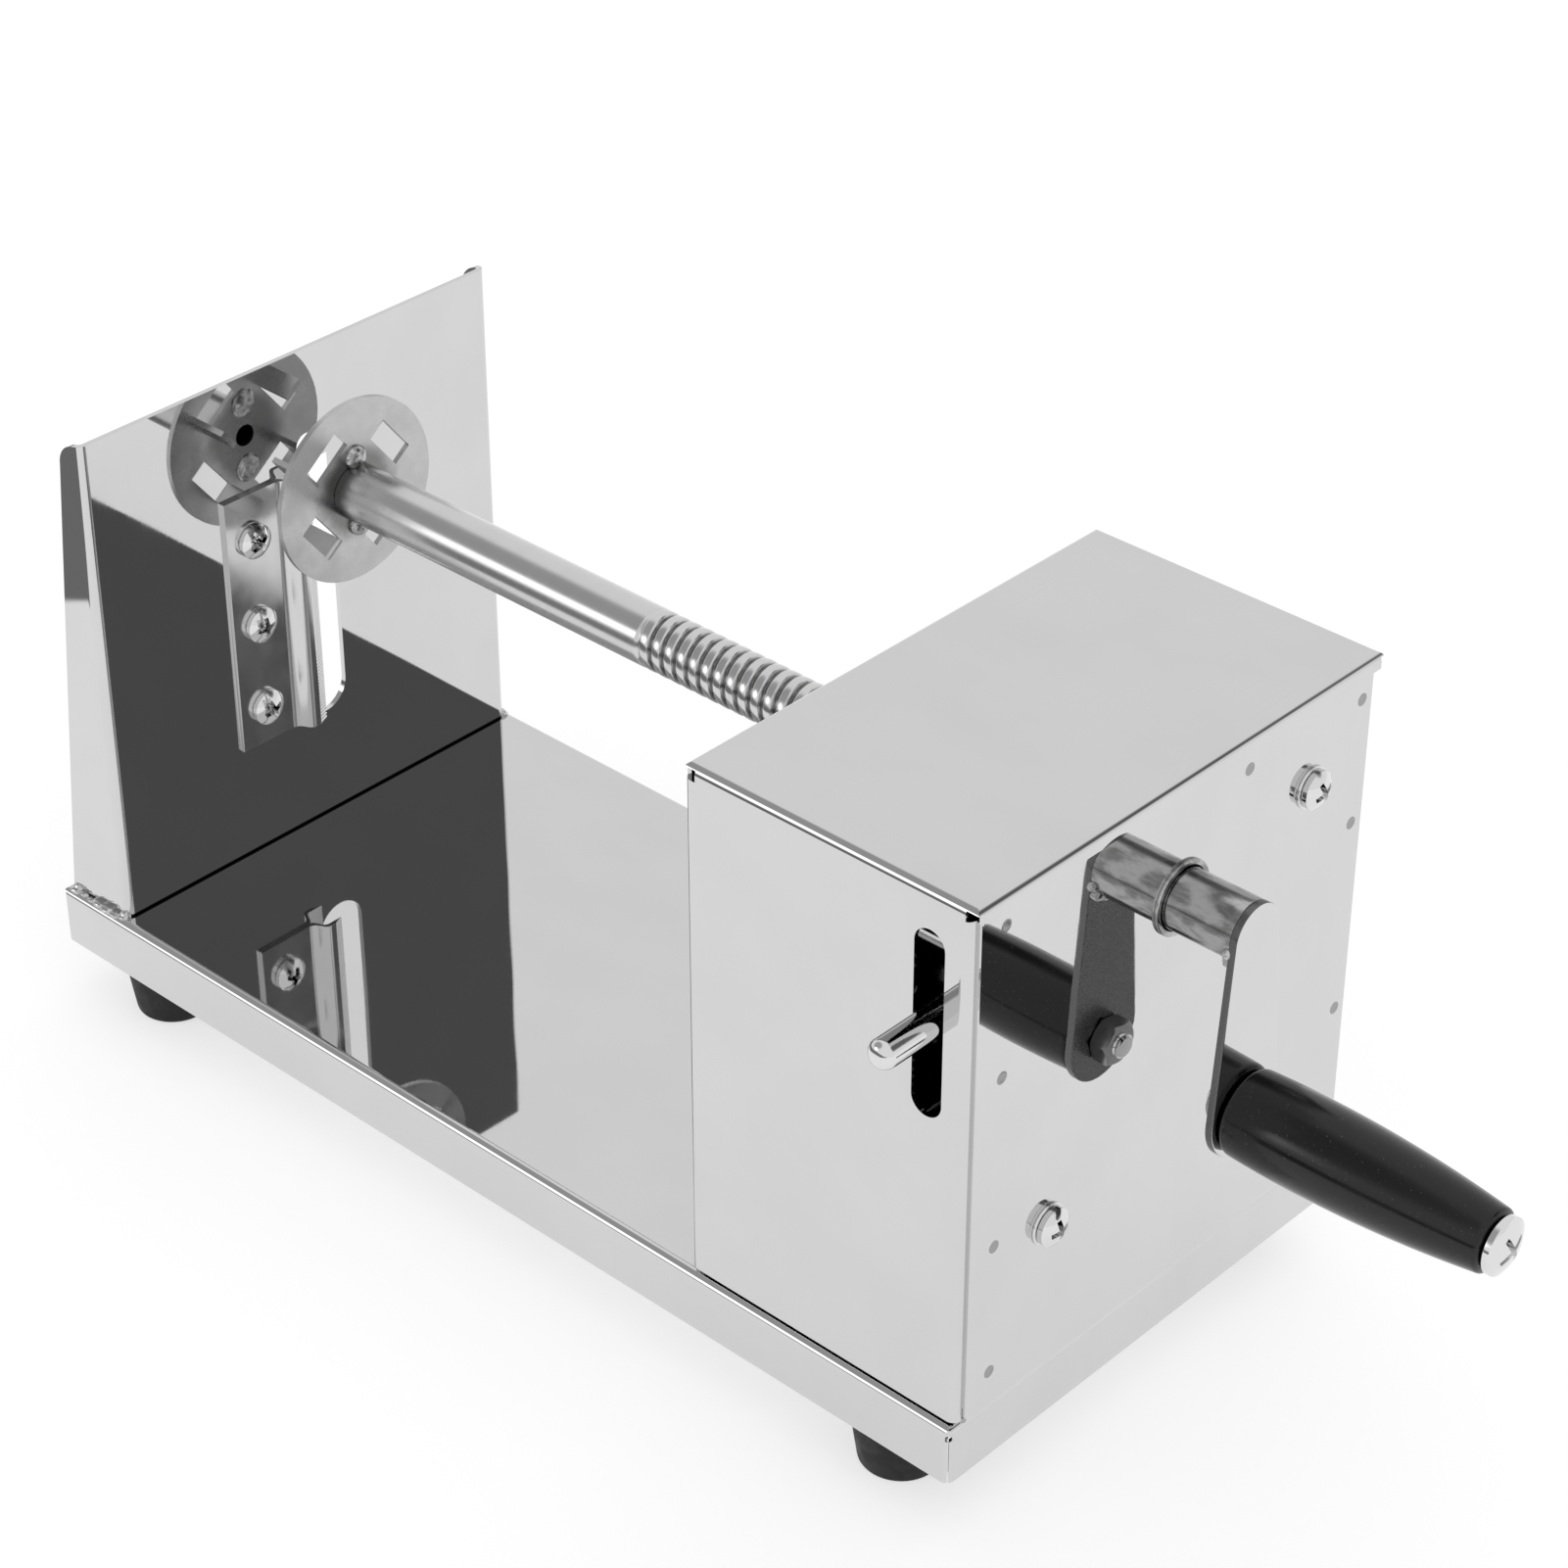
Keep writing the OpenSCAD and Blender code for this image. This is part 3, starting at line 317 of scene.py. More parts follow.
def ground_stainless(metal):
    """Stainless plate, ground to a satin: soft even reflections with a fine grit."""
    material, tree, shader = start_material("ground_stainless", metal.ground, 1)
    cloud = stretched_noise(tree, (7, 7, 7), 3.0)
    grit = stretched_noise(tree, (0.35, 0.35, 0.35))
    roughen(shader, (cloud, 0.3, 0.7, 0.25, 0.33))
    stain(shader, levels(tree, (cloud, 0.35, 0.75, 0, 0.08), (grit, 0.62, 0.75, 0, 0.25)), metal.tint)
    raise_skin(shader, grit, 0.003)
    return material


def ground_knife_steel(metal):
    """Hardened knife steel, ground and buffed: a clear sheen with soft smears."""
    material, tree, shader = start_material("ground_knife_steel", metal.turned, 1)
    roughen(shader, (stretched_noise(tree, (9, 9, 14)), 0.3, 0.7, 0.12, 0.2))
    return material


def sawn_edge_steel(name, shade):
    """Steel cut to its outline and left dull: dark, soft reflections with marks along the cut."""
    material, tree, shader = start_material(name, shade, 1)
    roughen(shader, (stretched_noise(tree, (2.5, 0.4, 0.4)), 0.3, 0.7, 0.22, 0.38))
    return material


def worn_hub_steel(metal):
    """Crank hub, rubbed dull in use: clouds of dark oxide under fine brush marks."""
    material, tree, shader = start_material("worn_hub_steel", metal.hub, 1)
    clouds = stretched_noise(tree, (8, 3.5, 3.5), 3.0)
    brushed = stretched_noise(tree, (2.5, 0.5, 0.5))
    stain(shader, levels(tree, (clouds, 0.4, 0.62, 0, 0.55), (brushed, 0.45, 0.75, 0, 0.15)), metal.tint)
    roughen(shader, (brushed, 0.3, 0.7, 0.13, 0.2))
    return material


def dulled_plated_steel(metal):
    """Plated nut, dulled by oil and handling: grey, with soft reflections."""
    material, tree, shader = start_material("dulled_plated_steel", metal.dulled, 1)
    roughen(shader, (stretched_noise(tree, (3, 3, 3)), 0.3, 0.7, 0.16, 0.26))
    return material


def scorched_disc_steel(metal, centre, reach_mm):
    """Ground disc, darkened by heat where the tube is welded to it."""
    material, tree, shader = renamed(ground_stainless(metal), "scorched_ground_stainless")
    place = add_node(tree, "ShaderNodeTexCoord").outputs["Object"]
    hot = [c * MM for c in centre]
    away = add_node(tree, "ShaderNodeVectorMath", {0: place, 1: hot}, operation="DISTANCE").outputs["Value"]
    inputs = {0: stretched_noise(tree, (6, 6, 6), 3.0), 1: reach_mm * MM / 3}
    uneven = add_node(tree, "ShaderNodeMath", inputs, operation="MULTIPLY").outputs[0]
    away = add_node(tree, "ShaderNodeMath", {0: away, 1: uneven}, operation="SUBTRACT").outputs[0]
    stain(shader, levels(tree, (away, reach_mm * MM / 2, reach_mm * MM, 0.65, 0)), metal.tint)
    return material


def bright_plated_steel(metal):
    """Steel screws, nickel plated and bright: clear reflections with a slight orange peel."""
    material, tree, shader = start_material("bright_plated_steel", metal.plated, 1)
    peel = stretched_noise(tree, (0.8, 0.8, 0.8))
    roughen(shader, (peel, 0.3, 0.8, 0.05, 0.14))
    raise_skin(shader, peel, 0.004)
    return material


def weld_metal(metal, name, tinted):
    """Stainless weld bead, left as it cooled: smooth and rippled, and as brown grey as tinted says."""
    material, tree, shader = start_material(name, metal.polished, 1)
    ripple = stretched_noise(tree, (1.6, 1.6, 1.6))
    stain(shader, levels(tree, (ripple, 0.35, 0.7, tinted / 3, tinted)), metal.tint)
    roughen(shader, (ripple, 0.3, 0.7, 0.1, 0.22))
    raise_skin(shader, ripple, 0.006)
    return material


def bright_weld_metal(metal):
    """Weld bead wiped clean of most of its tint: bright, with a little brown grey."""
    return weld_metal(metal, "bright_weld_metal", 0.3)


def machined_brass(metal):
    """Brass half nut, cut on a lathe: yellow metal with fine tool marks."""
    material, tree, shader = start_material("machined_brass", metal.brass, 1)
    marks = stretched_noise(tree, (0.2, 6, 6))
    roughen(shader, (marks, 0.3, 0.8, 0.18, 0.36))
    raise_skin(shader, marks, 0.003)
    return material


def moulded_grip_plastic(black):
    """Black polypropylene, moulded smooth: a satin gloss with handling marks and a few pale specks."""
    material, tree, shader = start_material("moulded_black_polypropylene", black.grip, 0)
    shader.inputs["IOR"].default_value = 1.49
    shader.inputs["Specular IOR Level"].default_value = 0.42
    roughen(shader, (stretched_noise(tree, (14, 5, 5), 3.0), 0.3, 0.7, 0.12, 0.2))
    specks = stretched_noise(tree, (0.35, 0.35, 0.35), 0.0)
    stain(shader, levels(tree, (specks, 0.8, 0.84, 0, 0.35)), black.specks)
    raise_skin(shader, stretched_noise(tree, (0.5, 0.5, 0.5)), 0.003)
    return material


def moulded_rubber(black):
    """Black rubber, moulded: matte, with a fine skin and a little dust."""
    material, tree, shader = start_material("moulded_black_rubber", black.rubber, 0)
    shader.inputs["IOR"].default_value = 1.52
    shader.inputs["Specular IOR Level"].default_value = 0.3
    dust = stretched_noise(tree, (4, 4, 4), 3.0)
    roughen(shader, (dust, 0.3, 0.7, 0.48, 0.7))
    stain(shader, levels(tree, (dust, 0.5, 0.8, 0, 0.12)), black.dust)
    raise_skin(shader, stretched_noise(tree, (0.6, 0.6, 0.6), 3.0), 0.02)
    return material


def pale_paper(studio):
    """The floor: white paper lit from above, with some light of its own so that shadows stay faint.

    The steel mirrors the paper's far end, past which the table is grey.
    """
    material, tree, shader = start_material("pale_paper", studio.floor, 0)
    roughen(shader, (stretched_noise(tree, (6, 6, 6)), 0.3, 0.7, 0.85, 0.95))
    shader.inputs["Specular IOR Level"].default_value = 0
    shader.inputs["Emission Color"].default_value = (1, 1, 1, 1)
    place = add_node(tree, "ShaderNodeTexCoord").outputs["Object"]
    away, blur = (-0.68, -0.73, 0), 5 * MM
    inputs = {0: place, 1: away}
    along = add_node(tree, "ShaderNodeVectorMath", inputs, operation="DOT_PRODUCT").outputs["Value"]
    over = levels(tree, (along, studio.paper_end, studio.paper_end + blur, 0, 1))
    mirrored = add_node(tree, "ShaderNodeLightPath").outputs["Is Glossy Ray"]
    past = add_node(tree, "ShaderNodeMath", {0: over, 1: mirrored}, operation="MULTIPLY").outputs[0]
    tree.links.new(levels(tree, (past, 0, 1, studio.glow, 0)), shader.inputs["Emission Strength"])
    stain(shader, past, studio.table)
    return material


def finish_piece(bm, name, material, *nodes, body=None, slot=None, crease=32):
    """Turns a bmesh in millimetres into a piece in metres that rides on its body and stands for its nodes."""
    bmesh.ops.recalc_face_normals(bm, faces=bm.faces)
    bmesh.ops.scale(bm, vec=(MM, MM, MM), verts=bm.verts)
    mesh = bpy.data.meshes.new(name)
    bm.to_mesh(mesh)
    bm.free()
    mesh.shade_smooth()
    mesh.set_sharp_from_angle(angle=math.radians(crease))
    piece = bpy.data.objects.new(name, mesh)
    bpy.context.scene.collection.objects.link(piece)
    mesh.materials.append(material)
    even = piece.modifiers.new("even shading", "WEIGHTED_NORMAL")
    even.keep_sharp = True
    even.weight = 100
    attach(piece, body or BODY[nodes[0]])
    if nodes:
        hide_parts(*nodes)
    return piece


def broken_edges(bm, width, sharp=30):
    """Breaks every edge that turns more than sharp degrees."""
    edges = [e for e in bm.edges if e.is_manifold and e.calc_face_angle(0) > math.radians(sharp)]
    bmesh.ops.bevel(
        bm,
        geom=edges,
        offset=width,
        offset_type="OFFSET",
        segments=2,
        profile=0.5,
        affect="EDGES",
        clamp_overlap=True,
    )


def node_mesh(node):
    """A node's own mesh in millimetres, with its points welded and its flat faces whole."""
    bm = bmesh.new()
    bm.from_mesh(frame["nodes"][node].data)
    bmesh.ops.scale(bm, vec=(1 / MM, 1 / MM, 1 / MM), verts=bm.verts)
    bmesh.ops.remove_doubles(bm, verts=bm.verts, dist=TOUCH)
    bmesh.ops.dissolve_limit(
        bm,
        angle_limit=math.radians(0.6),
        use_dissolve_boundaries=False,
        verts=bm.verts,
        edges=bm.edges,
        delimit={"NORMAL"},
    )
    return bm


def dressed(node, material, edge, cutter=None):
    """A node's own shape with broken edges and even shading, less what a cutter takes out of it."""
    bm = node_mesh(node)
    broken_edges(bm, edge / MM)
    if cutter:
        bm = cut_out(bm, cutter)
    return finish_piece(bm, node + "_finished", material, node)


def bridge(bm, a, b):
    """Faces between two rings, either of which may be one point."""
    n = max(len(a), len(b))
    for j in range(n):
        corners = [a[j % len(a)], a[(j + 1) % len(a)], b[(j + 1) % len(b)], b[j % len(b)]]
        face = list(dict.fromkeys(corners))
        if len(face) > 2:
            bm.faces.new(face)


def lathe(bm, profile, place, steps=64, closed=False):
    """Turns a profile of (along, radius) points about X, then puts it in place."""
    rings = []
    for along, radius in profile:
        turns = [math.tau * j / steps for j in range(steps)] if radius > TOUCH else [0]
        points = [(along, radius * math.cos(a), radius * math.sin(a)) for a in turns]
        rings.append([bm.verts.new(place @ Vector(point)) for point in points])
    for a, b in zip(rings, rings[1:] + rings[:1] if closed else rings[1:]):
        bridge(bm, a, b)


def rounded(corners, closed=False, steps=4):
    """A profile through (along, radius, round) corners, with each corner turned through its round."""
    points = []
    count = len(corners)
    for i, (along, radius, turn) in enumerate(corners):
        here = Vector((along, radius))
        inner = closed or 0 < i < count - 1
        if turn <= 0 or not inner:
            points.append(tuple(here))
            continue
        back = Vector(corners[i - 1][:2]) - here
        on = Vector(corners[(i + 1) % count][:2]) - here
        reach = min(turn, back.length / 2, on.length / 2)
        start = here + back.normalized() * reach
        end = here + on.normalized() * reach
        for s in range(steps + 1):
            t = s / steps
            points.append(tuple(start * (1 - t) ** 2 + here * 2 * t * (1 - t) + end * t * t))
    return points


def along_x(x, y, z, roll=0):
    """Places a shape drawn along +X, rolled about its own axis."""
    return Matrix.Translation((x, y, z)) @ Matrix.Rotation(roll, 4, "X")


def along_minus_x(x, y, z):
    return Matrix.Translation((x, y, z)) @ Matrix.Rotation(math.pi, 4, "Z")


def upward(x, y, z):
    return Matrix.Translation((x, y, z)) @ Matrix.Rotation(-math.pi / 2, 4, "Y")


def towards_minus_y(x, y, z):
    return Matrix.Translation((x, y, z)) @ Matrix.Rotation(-math.pi / 2, 4, "Z")


def cut_out(target, cutter):
    """Cuts one bmesh out of another and returns the result."""
    objects = []
    for name, bm in (("target", target), ("cutter", cutter)):
        bmesh.ops.recalc_face_normals(bm, faces=bm.faces)
        mesh = bpy.data.meshes.new(name)
        bm.to_mesh(mesh)
        bm.free()
        obj = bpy.data.objects.new(name, mesh)
        bpy.context.scene.collection.objects.link(obj)
        objects.append(obj)
    whole, tool = objects
    cut = whole.modifiers.new("cut", "BOOLEAN")
    cut.object = tool
    cut.operation = "DIFFERENCE"
    cut.solver = "EXACT"
    cut.use_self = True
    depsgraph = bpy.context.evaluated_depsgraph_get()
    result = bmesh.new()
    result.from_object(whole, depsgraph)
    for obj in objects:
        mesh = obj.data
        bpy.data.objects.remove(obj)
        bpy.data.meshes.remove(mesh)
    return result


def add_copies(bm, part, places):
    """Adds copies of a bmesh to another, and frees it."""
    mesh = bpy.data.meshes.new("part")
    part.to_mesh(mesh)
    part.free()
    for place in places:
        copy = bmesh.new()
        copy.from_mesh(mesh)
        bmesh.ops.transform(copy, matrix=place, verts=copy.verts)
        placed = bpy.data.meshes.new("placed")
        copy.to_mesh(placed)
        copy.free()
        bm.from_mesh(placed)
        bpy.data.meshes.remove(placed)
    bpy.data.meshes.remove(mesh)


def fasteners(node, part, places, material):
    """Copies of one screw, nut or washer, as the piece that stands for their node."""
    bm = bmesh.new()
    add_copies(bm, part, places)
    finish_piece(bm, node + "_plated", material, node)


def revolved(node, section, place, material, ending="_turned"):
    """A closed section turned about X, as the piece that stands for its node."""
    bm = bmesh.new()
    lathe(bm, rounded(section, closed=True), place, 96, closed=True)
    finish_piece(bm, node + ending, material, node)


def cross_recess(top, reach, depth):
    """A cutter for a cross recess: two crossed blades that narrow downwards from the head's top."""
    width, mouth_share, foot_share = 1.4, 1.5, 0.6
    corners = ((-1, -1), (1, -1), (1, 1), (-1, 1))
    bm = bmesh.new()
    for turn in (0, math.pi / 2):
        spin = Matrix.Rotation(turn, 4, "X")
        rings = []
        for along, share in ((top + depth, mouth_share), (top - depth, foot_share)):
            y, z = reach / 2 * share, width / 2 * share
            rings.append([bm.verts.new(spin @ Vector((along, sy * y, sz * z))) for sy, sz in corners])
        for a, b in zip(rings, rings[1:]):
            bridge(bm, a, b)
        for ring in rings:
            bm.faces.new(ring)
    return bm


def pan_screw(diameter, head_d, head_h, shank, pitch=0.8):
    """A pan-head screw along +X with its seat at the origin: domed head, cross recess and threaded shank."""
    rise, groove, tip_step = head_h * 0.55, 0.25, 0.5
    head_r, thread_r = head_d / 2, diameter / 2
    radii = [head_r * math.sin(math.radians(9 * i)) for i in range(1, 9)]
    dome = [(head_h - rise * (r / head_r) ** 2, r) for r in radii]
    rim = [(head_h - rise, head_r, 0.3), (0.25, head_r, 0.5), (0, head_r - 0.4, 0.2), (0, thread_r, 0)]
    rows = int(shank / pitch * 2)
    thread = [(-shank * i / rows, thread_r - (groove if i % 2 else 0)) for i in range(1, rows)]
    tip = [(-shank, thread_r - tip_step), (-shank, 0)]
    bm = bmesh.new()
    lathe(bm, [(head_h, 0)] + dome + rounded(rim) + thread + tip, Matrix(), 48)
    head = cut_out(bm, cross_recess(head_h, head_d * 0.62, head_h * 0.75))
    broken_edges(head, 0.06, 40)
    return head


def hex_nut(flats, height, bore):
    """A hexagon nut along +X from its seat, with both faces chamfered."""
    apothem, inset, steps = flats / 2, 0.08, 72
    flat_r = apothem * (1 - inset)
    slope = math.tan(math.radians(28))
    bm = bmesh.new()

    def outer(a):
        return apothem / math.cos((a + math.pi / 6) % (math.pi / 3) - math.pi / 6)

    def ring(along, radius):
        points = []
        for j in range(steps):
            a = math.tau * j / steps
            r = radius(a)
            points.append(bm.verts.new((along(r), r * math.cos(a), r * math.sin(a))))
        return points

    rings = [
        ring(lambda r: 0, lambda a: bore / 2),
        ring(lambda r: 0, lambda a: flat_r),
        ring(lambda r: slope * (r - flat_r), outer),
        ring(lambda r: height - slope * (r - flat_r), outer),
        ring(lambda r: height, lambda a: flat_r),
        ring(lambda r: height, lambda a: bore / 2),
    ]
    for a, b in zip(rings, rings[1:] + rings[:1]):
        bridge(bm, a, b)
    broken_edges(bm, 0.08, 25)
    return bm


def washer(outer, bore, thick):
    """A flat washer along +X from its seat, with rounded rims."""
    bm = bmesh.new()
    section = [(0, bore / 2, 0.1), (thick, bore / 2, 0.1), (thick, outer / 2, 0.35), (0, outer / 2, 0.2)]
    lathe(bm, rounded(section, closed=True), Matrix(), 64, closed=True)
    return bm


def lump(bm, place, size, rough, seed):
    """One drop of weld metal: a ball flattened to size, with an uneven skin."""
    ball = bmesh.ops.create_icosphere(bm, subdivisions=4, radius=1)["verts"]
    for v in ball:
        swell = 1 + rough * noise.noise(v.co * 1.7 + Vector((seed, seed * 0.37, 0)))
        v.co = place @ Vector([c * s * swell for c, s in zip(v.co, size)])


def weld_bead(name, drops, body, slot):
    """Drops of weld metal melted into one bead. Each drop is (place, size, roughness)."""
    bm = bmesh.new()
    for i, (place, size, rough) in enumerate(drops):
        lump(bm, place, size, rough, i * 3.1)
    piece = finish_piece(bm, name, shared(bright_weld_metal), body=body, slot=slot)
    piece.modifiers.clear()
    melt = piece.modifiers.new("melted together", "REMESH")
    melt.mode = "VOXEL"
    melt.voxel_size = 0.14 * MM
    melt.use_smooth_shade = True
    soft = piece.modifiers.new("softened", "SMOOTH")
    soft.factor = 0.5
    soft.iterations = 12


class CUTTER_OT_sheet_metal(Operator):
    """Folded sheet: tray, blade plate, housing cover, both panels"""

    bl_idname = "cutter.sheet_metal"
    bl_label = "Sheet metal"

    def execute(self, context):
        metal = context.scene.cutter_metal
        polished = shared(mirror_polished_stainless)
        tray_top, roof, lip = box_mm("base_tray")[1].z, box_mm("housing_cover")[1].z, 4
        # The painted joint shade is dark this near to a joint, and has ended at the second distance
        plate_dark, plate_unshaded, panel_dark, panel_unshaded = 0.5, 0.9, 0.3, 0.7
        plate_joint = (tray_top + plate_unshaded, tray_top + plate_dark)
        panel_joint = (roof - lip - panel_unshaded, roof - lip - panel_dark)
        footed = jointed_sheet(metal, "mirror_polished_plate", *plate_joint)
        lipped = jointed_sheet(metal, "mirror_polished_panel", *panel_joint)
        dressed("base_tray", polished, metal.edge, self.corner_slits())
        dressed("blade_plate", footed, metal.edge)
        dressed("housing_cover", polished, metal.edge)
        for node in ("front_panel", "rear_panel"):
            dressed(node, lipped, metal.edge)
        return {"FINISHED"}

    def corner_slits(self):
        """Cutters for the hairline gap between two turned-down edges, below each corner's relief hole."""
        slit_w, reach, hole_drop = 0.3, 3, 3.3
        low, high = box_mm("base_tray")
        bottom, top = low.z - 1, high.z - hole_drop
        slits = bmesh.new()
        for sx in (-1, 1):
            for sy in (-1, 1):
                corner = Vector((high.x * sx, high.y * sy, (bottom + top) / 2))
                turn = Matrix.Rotation(math.atan2(sy, sx), 4, "Z")
                size = Matrix.Diagonal((2 * reach, slit_w, top - bottom, 1))
                bmesh.ops.create_cube(slits, size=1, matrix=Matrix.Translation(corner) @ turn @ size)
        return slits


class CUTTER_OT_feet(Operator):
    """Rubber feet with their screws and nuts"""

    bl_idname = "cutter.feet"
    bl_label = "Feet"

    def execute(self, context):
        high = box_mm("rubber_feet")[1]
        screw_low, screw_high = box_mm("foot_screws")
        nut_low, nut_high = box_mm("foot_nuts")
        tray_edge = box_mm("base_tray")[0].z
        foot_d, base_r, bore_r, neck_r = 24.4, 10, 5.5, M5_HOLE_D / 2
        pocket_r, pocket_floor = 5.2, nut_low.z - 0.6
        x, y = high.x - foot_d / 2, high.y - foot_d / 2
        places = [(sx * x, sy * y) for sx in (-1, 1) for sy in (-1, 1)]
        seat = screw_low.z + M5_HEAD_H
        foot = bmesh.new()
        section = [
            (0, bore_r, 0.4),
            (0, base_r, 1.5),
            (tray_edge, foot_d / 2, 1.2),
            (high.z, foot_d / 2, 0.4),
            (high.z, pocket_r, 0.3),
            (pocket_floor, pocket_r, 0.2),
            (pocket_floor, neck_r, 0.2),
            (seat, neck_r, 0.2),
            (seat, bore_r, 0.2),
        ]
        lathe(foot, rounded(section, closed=True, steps=5), Matrix(), 72, closed=True)
        feet = bmesh.new()
        add_copies(feet, foot, [upward(px, py, 0) for px, py in places])
        finish_piece(feet, "rubber_feet_moulded", moulded_rubber(context.scene.cutter_black), "rubber_feet")
        plated = shared(bright_plated_steel)
        screw = pan_screw(M5_D, M5_HEAD_D, M5_HEAD_H, screw_high.z - seat)
        down = Matrix.Rotation(math.pi, 4, "Y")
        fasteners("foot_screws", screw, [upward(px, py, seat) @ down for px, py in places], plated)
        nut = hex_nut(M5_FLATS, nut_high.z - nut_low.z, M5_D)
        fasteners("foot_nuts", nut, [upward(px, py, nut_low.z) for px, py in places], plated)
        return {"FINISHED"}


class CUTTER_OT_knife(Operator):
    """Slicing knife with its toothed edge, screws and nuts"""

    bl_idname = "cutter.knife"
    bl_label = "Knife"

    def execute(self, context):
        low, high = box_mm("slicing_knife")
        joggle, flat, inner_fold = 2, 18.7, 0.4
        tooth, ground_w, tooth_depth, nick_depth, edge_land = 1.0, 3.0, 0.22, 0.18, 0.12
        back = high.x - SHEET
        section = rounded(
            [
                (low.x, low.y, 0),
                (low.x, low.y + flat, 0.9),
                (back, low.y + flat + joggle, 0.9),
                (back, high.y, 0),
                (back + edge_land, high.y, 0),
                (high.x, high.y - ground_w, 0.3),
                (high.x, low.y + flat + joggle - inner_fold, 1.6),
                (low.x + SHEET, low.y + flat - inner_fold, 1.6),
                (low.x + SHEET, low.y, 0),
            ],
            closed=True,
            steps=5,
        )
        rows = int((high.z - low.z) / tooth * 6)
        bm = bmesh.new()
        rings = []
        for i in range(rows + 1):
            z = low.z + (high.z - low.z) * i / rows
            wave = abs(math.sin(math.pi * (z - low.z) / tooth))
            ring = []
            for x, y in section:
                near = max(0, 1 - (high.y - y) / ground_w) if x > back - TOUCH else 0
                cut = tooth_depth * (1 - wave) * min(1, 2 * near) if x > back + 0.05 else 0
                nick = nick_depth * (1 - wave) if y > high.y - TOUCH else 0
                ring.append(bm.verts.new((x - cut, y - nick, z)))
            rings.append(ring)
        for a, b in zip(rings, rings[1:]):
            bridge(bm, a, b)
        for ring in (rings[0], rings[-1]):
            bm.faces.new(ring)
        screw_low, screw_high = box_mm("knife_screws")
        y = (screw_low.y + screw_high.y) / 2
        bottom, top = screw_low.z + M5_HEAD_D / 2, screw_high.z - M5_HEAD_D / 2
        heights = [bottom, (bottom + top) / 2, top]
        holes, drill, hole_r = bmesh.new(), bmesh.new(), M5_HOLE_D / 2
        lathe(drill, [(-2, 0), (-2, hole_r), (4, hole_r), (4, 0)], Matrix(), 32)
        add_copies(holes, drill, [along_x(low.x, y, z) for z in heights])
        knife = cut_out(bm, holes)
        broken_edges(knife, 0.1, 60)
        steel = ground_knife_steel(context.scene.cutter_metal)
        finish_piece(knife, "slicing_knife_ground", steel, "slicing_knife")
        seat = screw_high.x - M5_HEAD_H
        nut_low, nut_high = box_mm("knife_nuts")
        rolls = [0.35, 0.05, 0.6]
        plated = shared(bright_plated_steel)
        screw = pan_screw(M5_D, M5_HEAD_D, M5_HEAD_H, seat - screw_low.x)
        nut = hex_nut(M5_FLATS, nut_high.x - nut_low.x, M5_D)
        for node, part, x in (("knife_screws", screw, seat), ("knife_nuts", nut, nut_low.x)):
            fasteners(node, part, [along_x(x, y, z, roll) for z, roll in zip(heights, rolls)], plated)
        return {"FINISHED"}


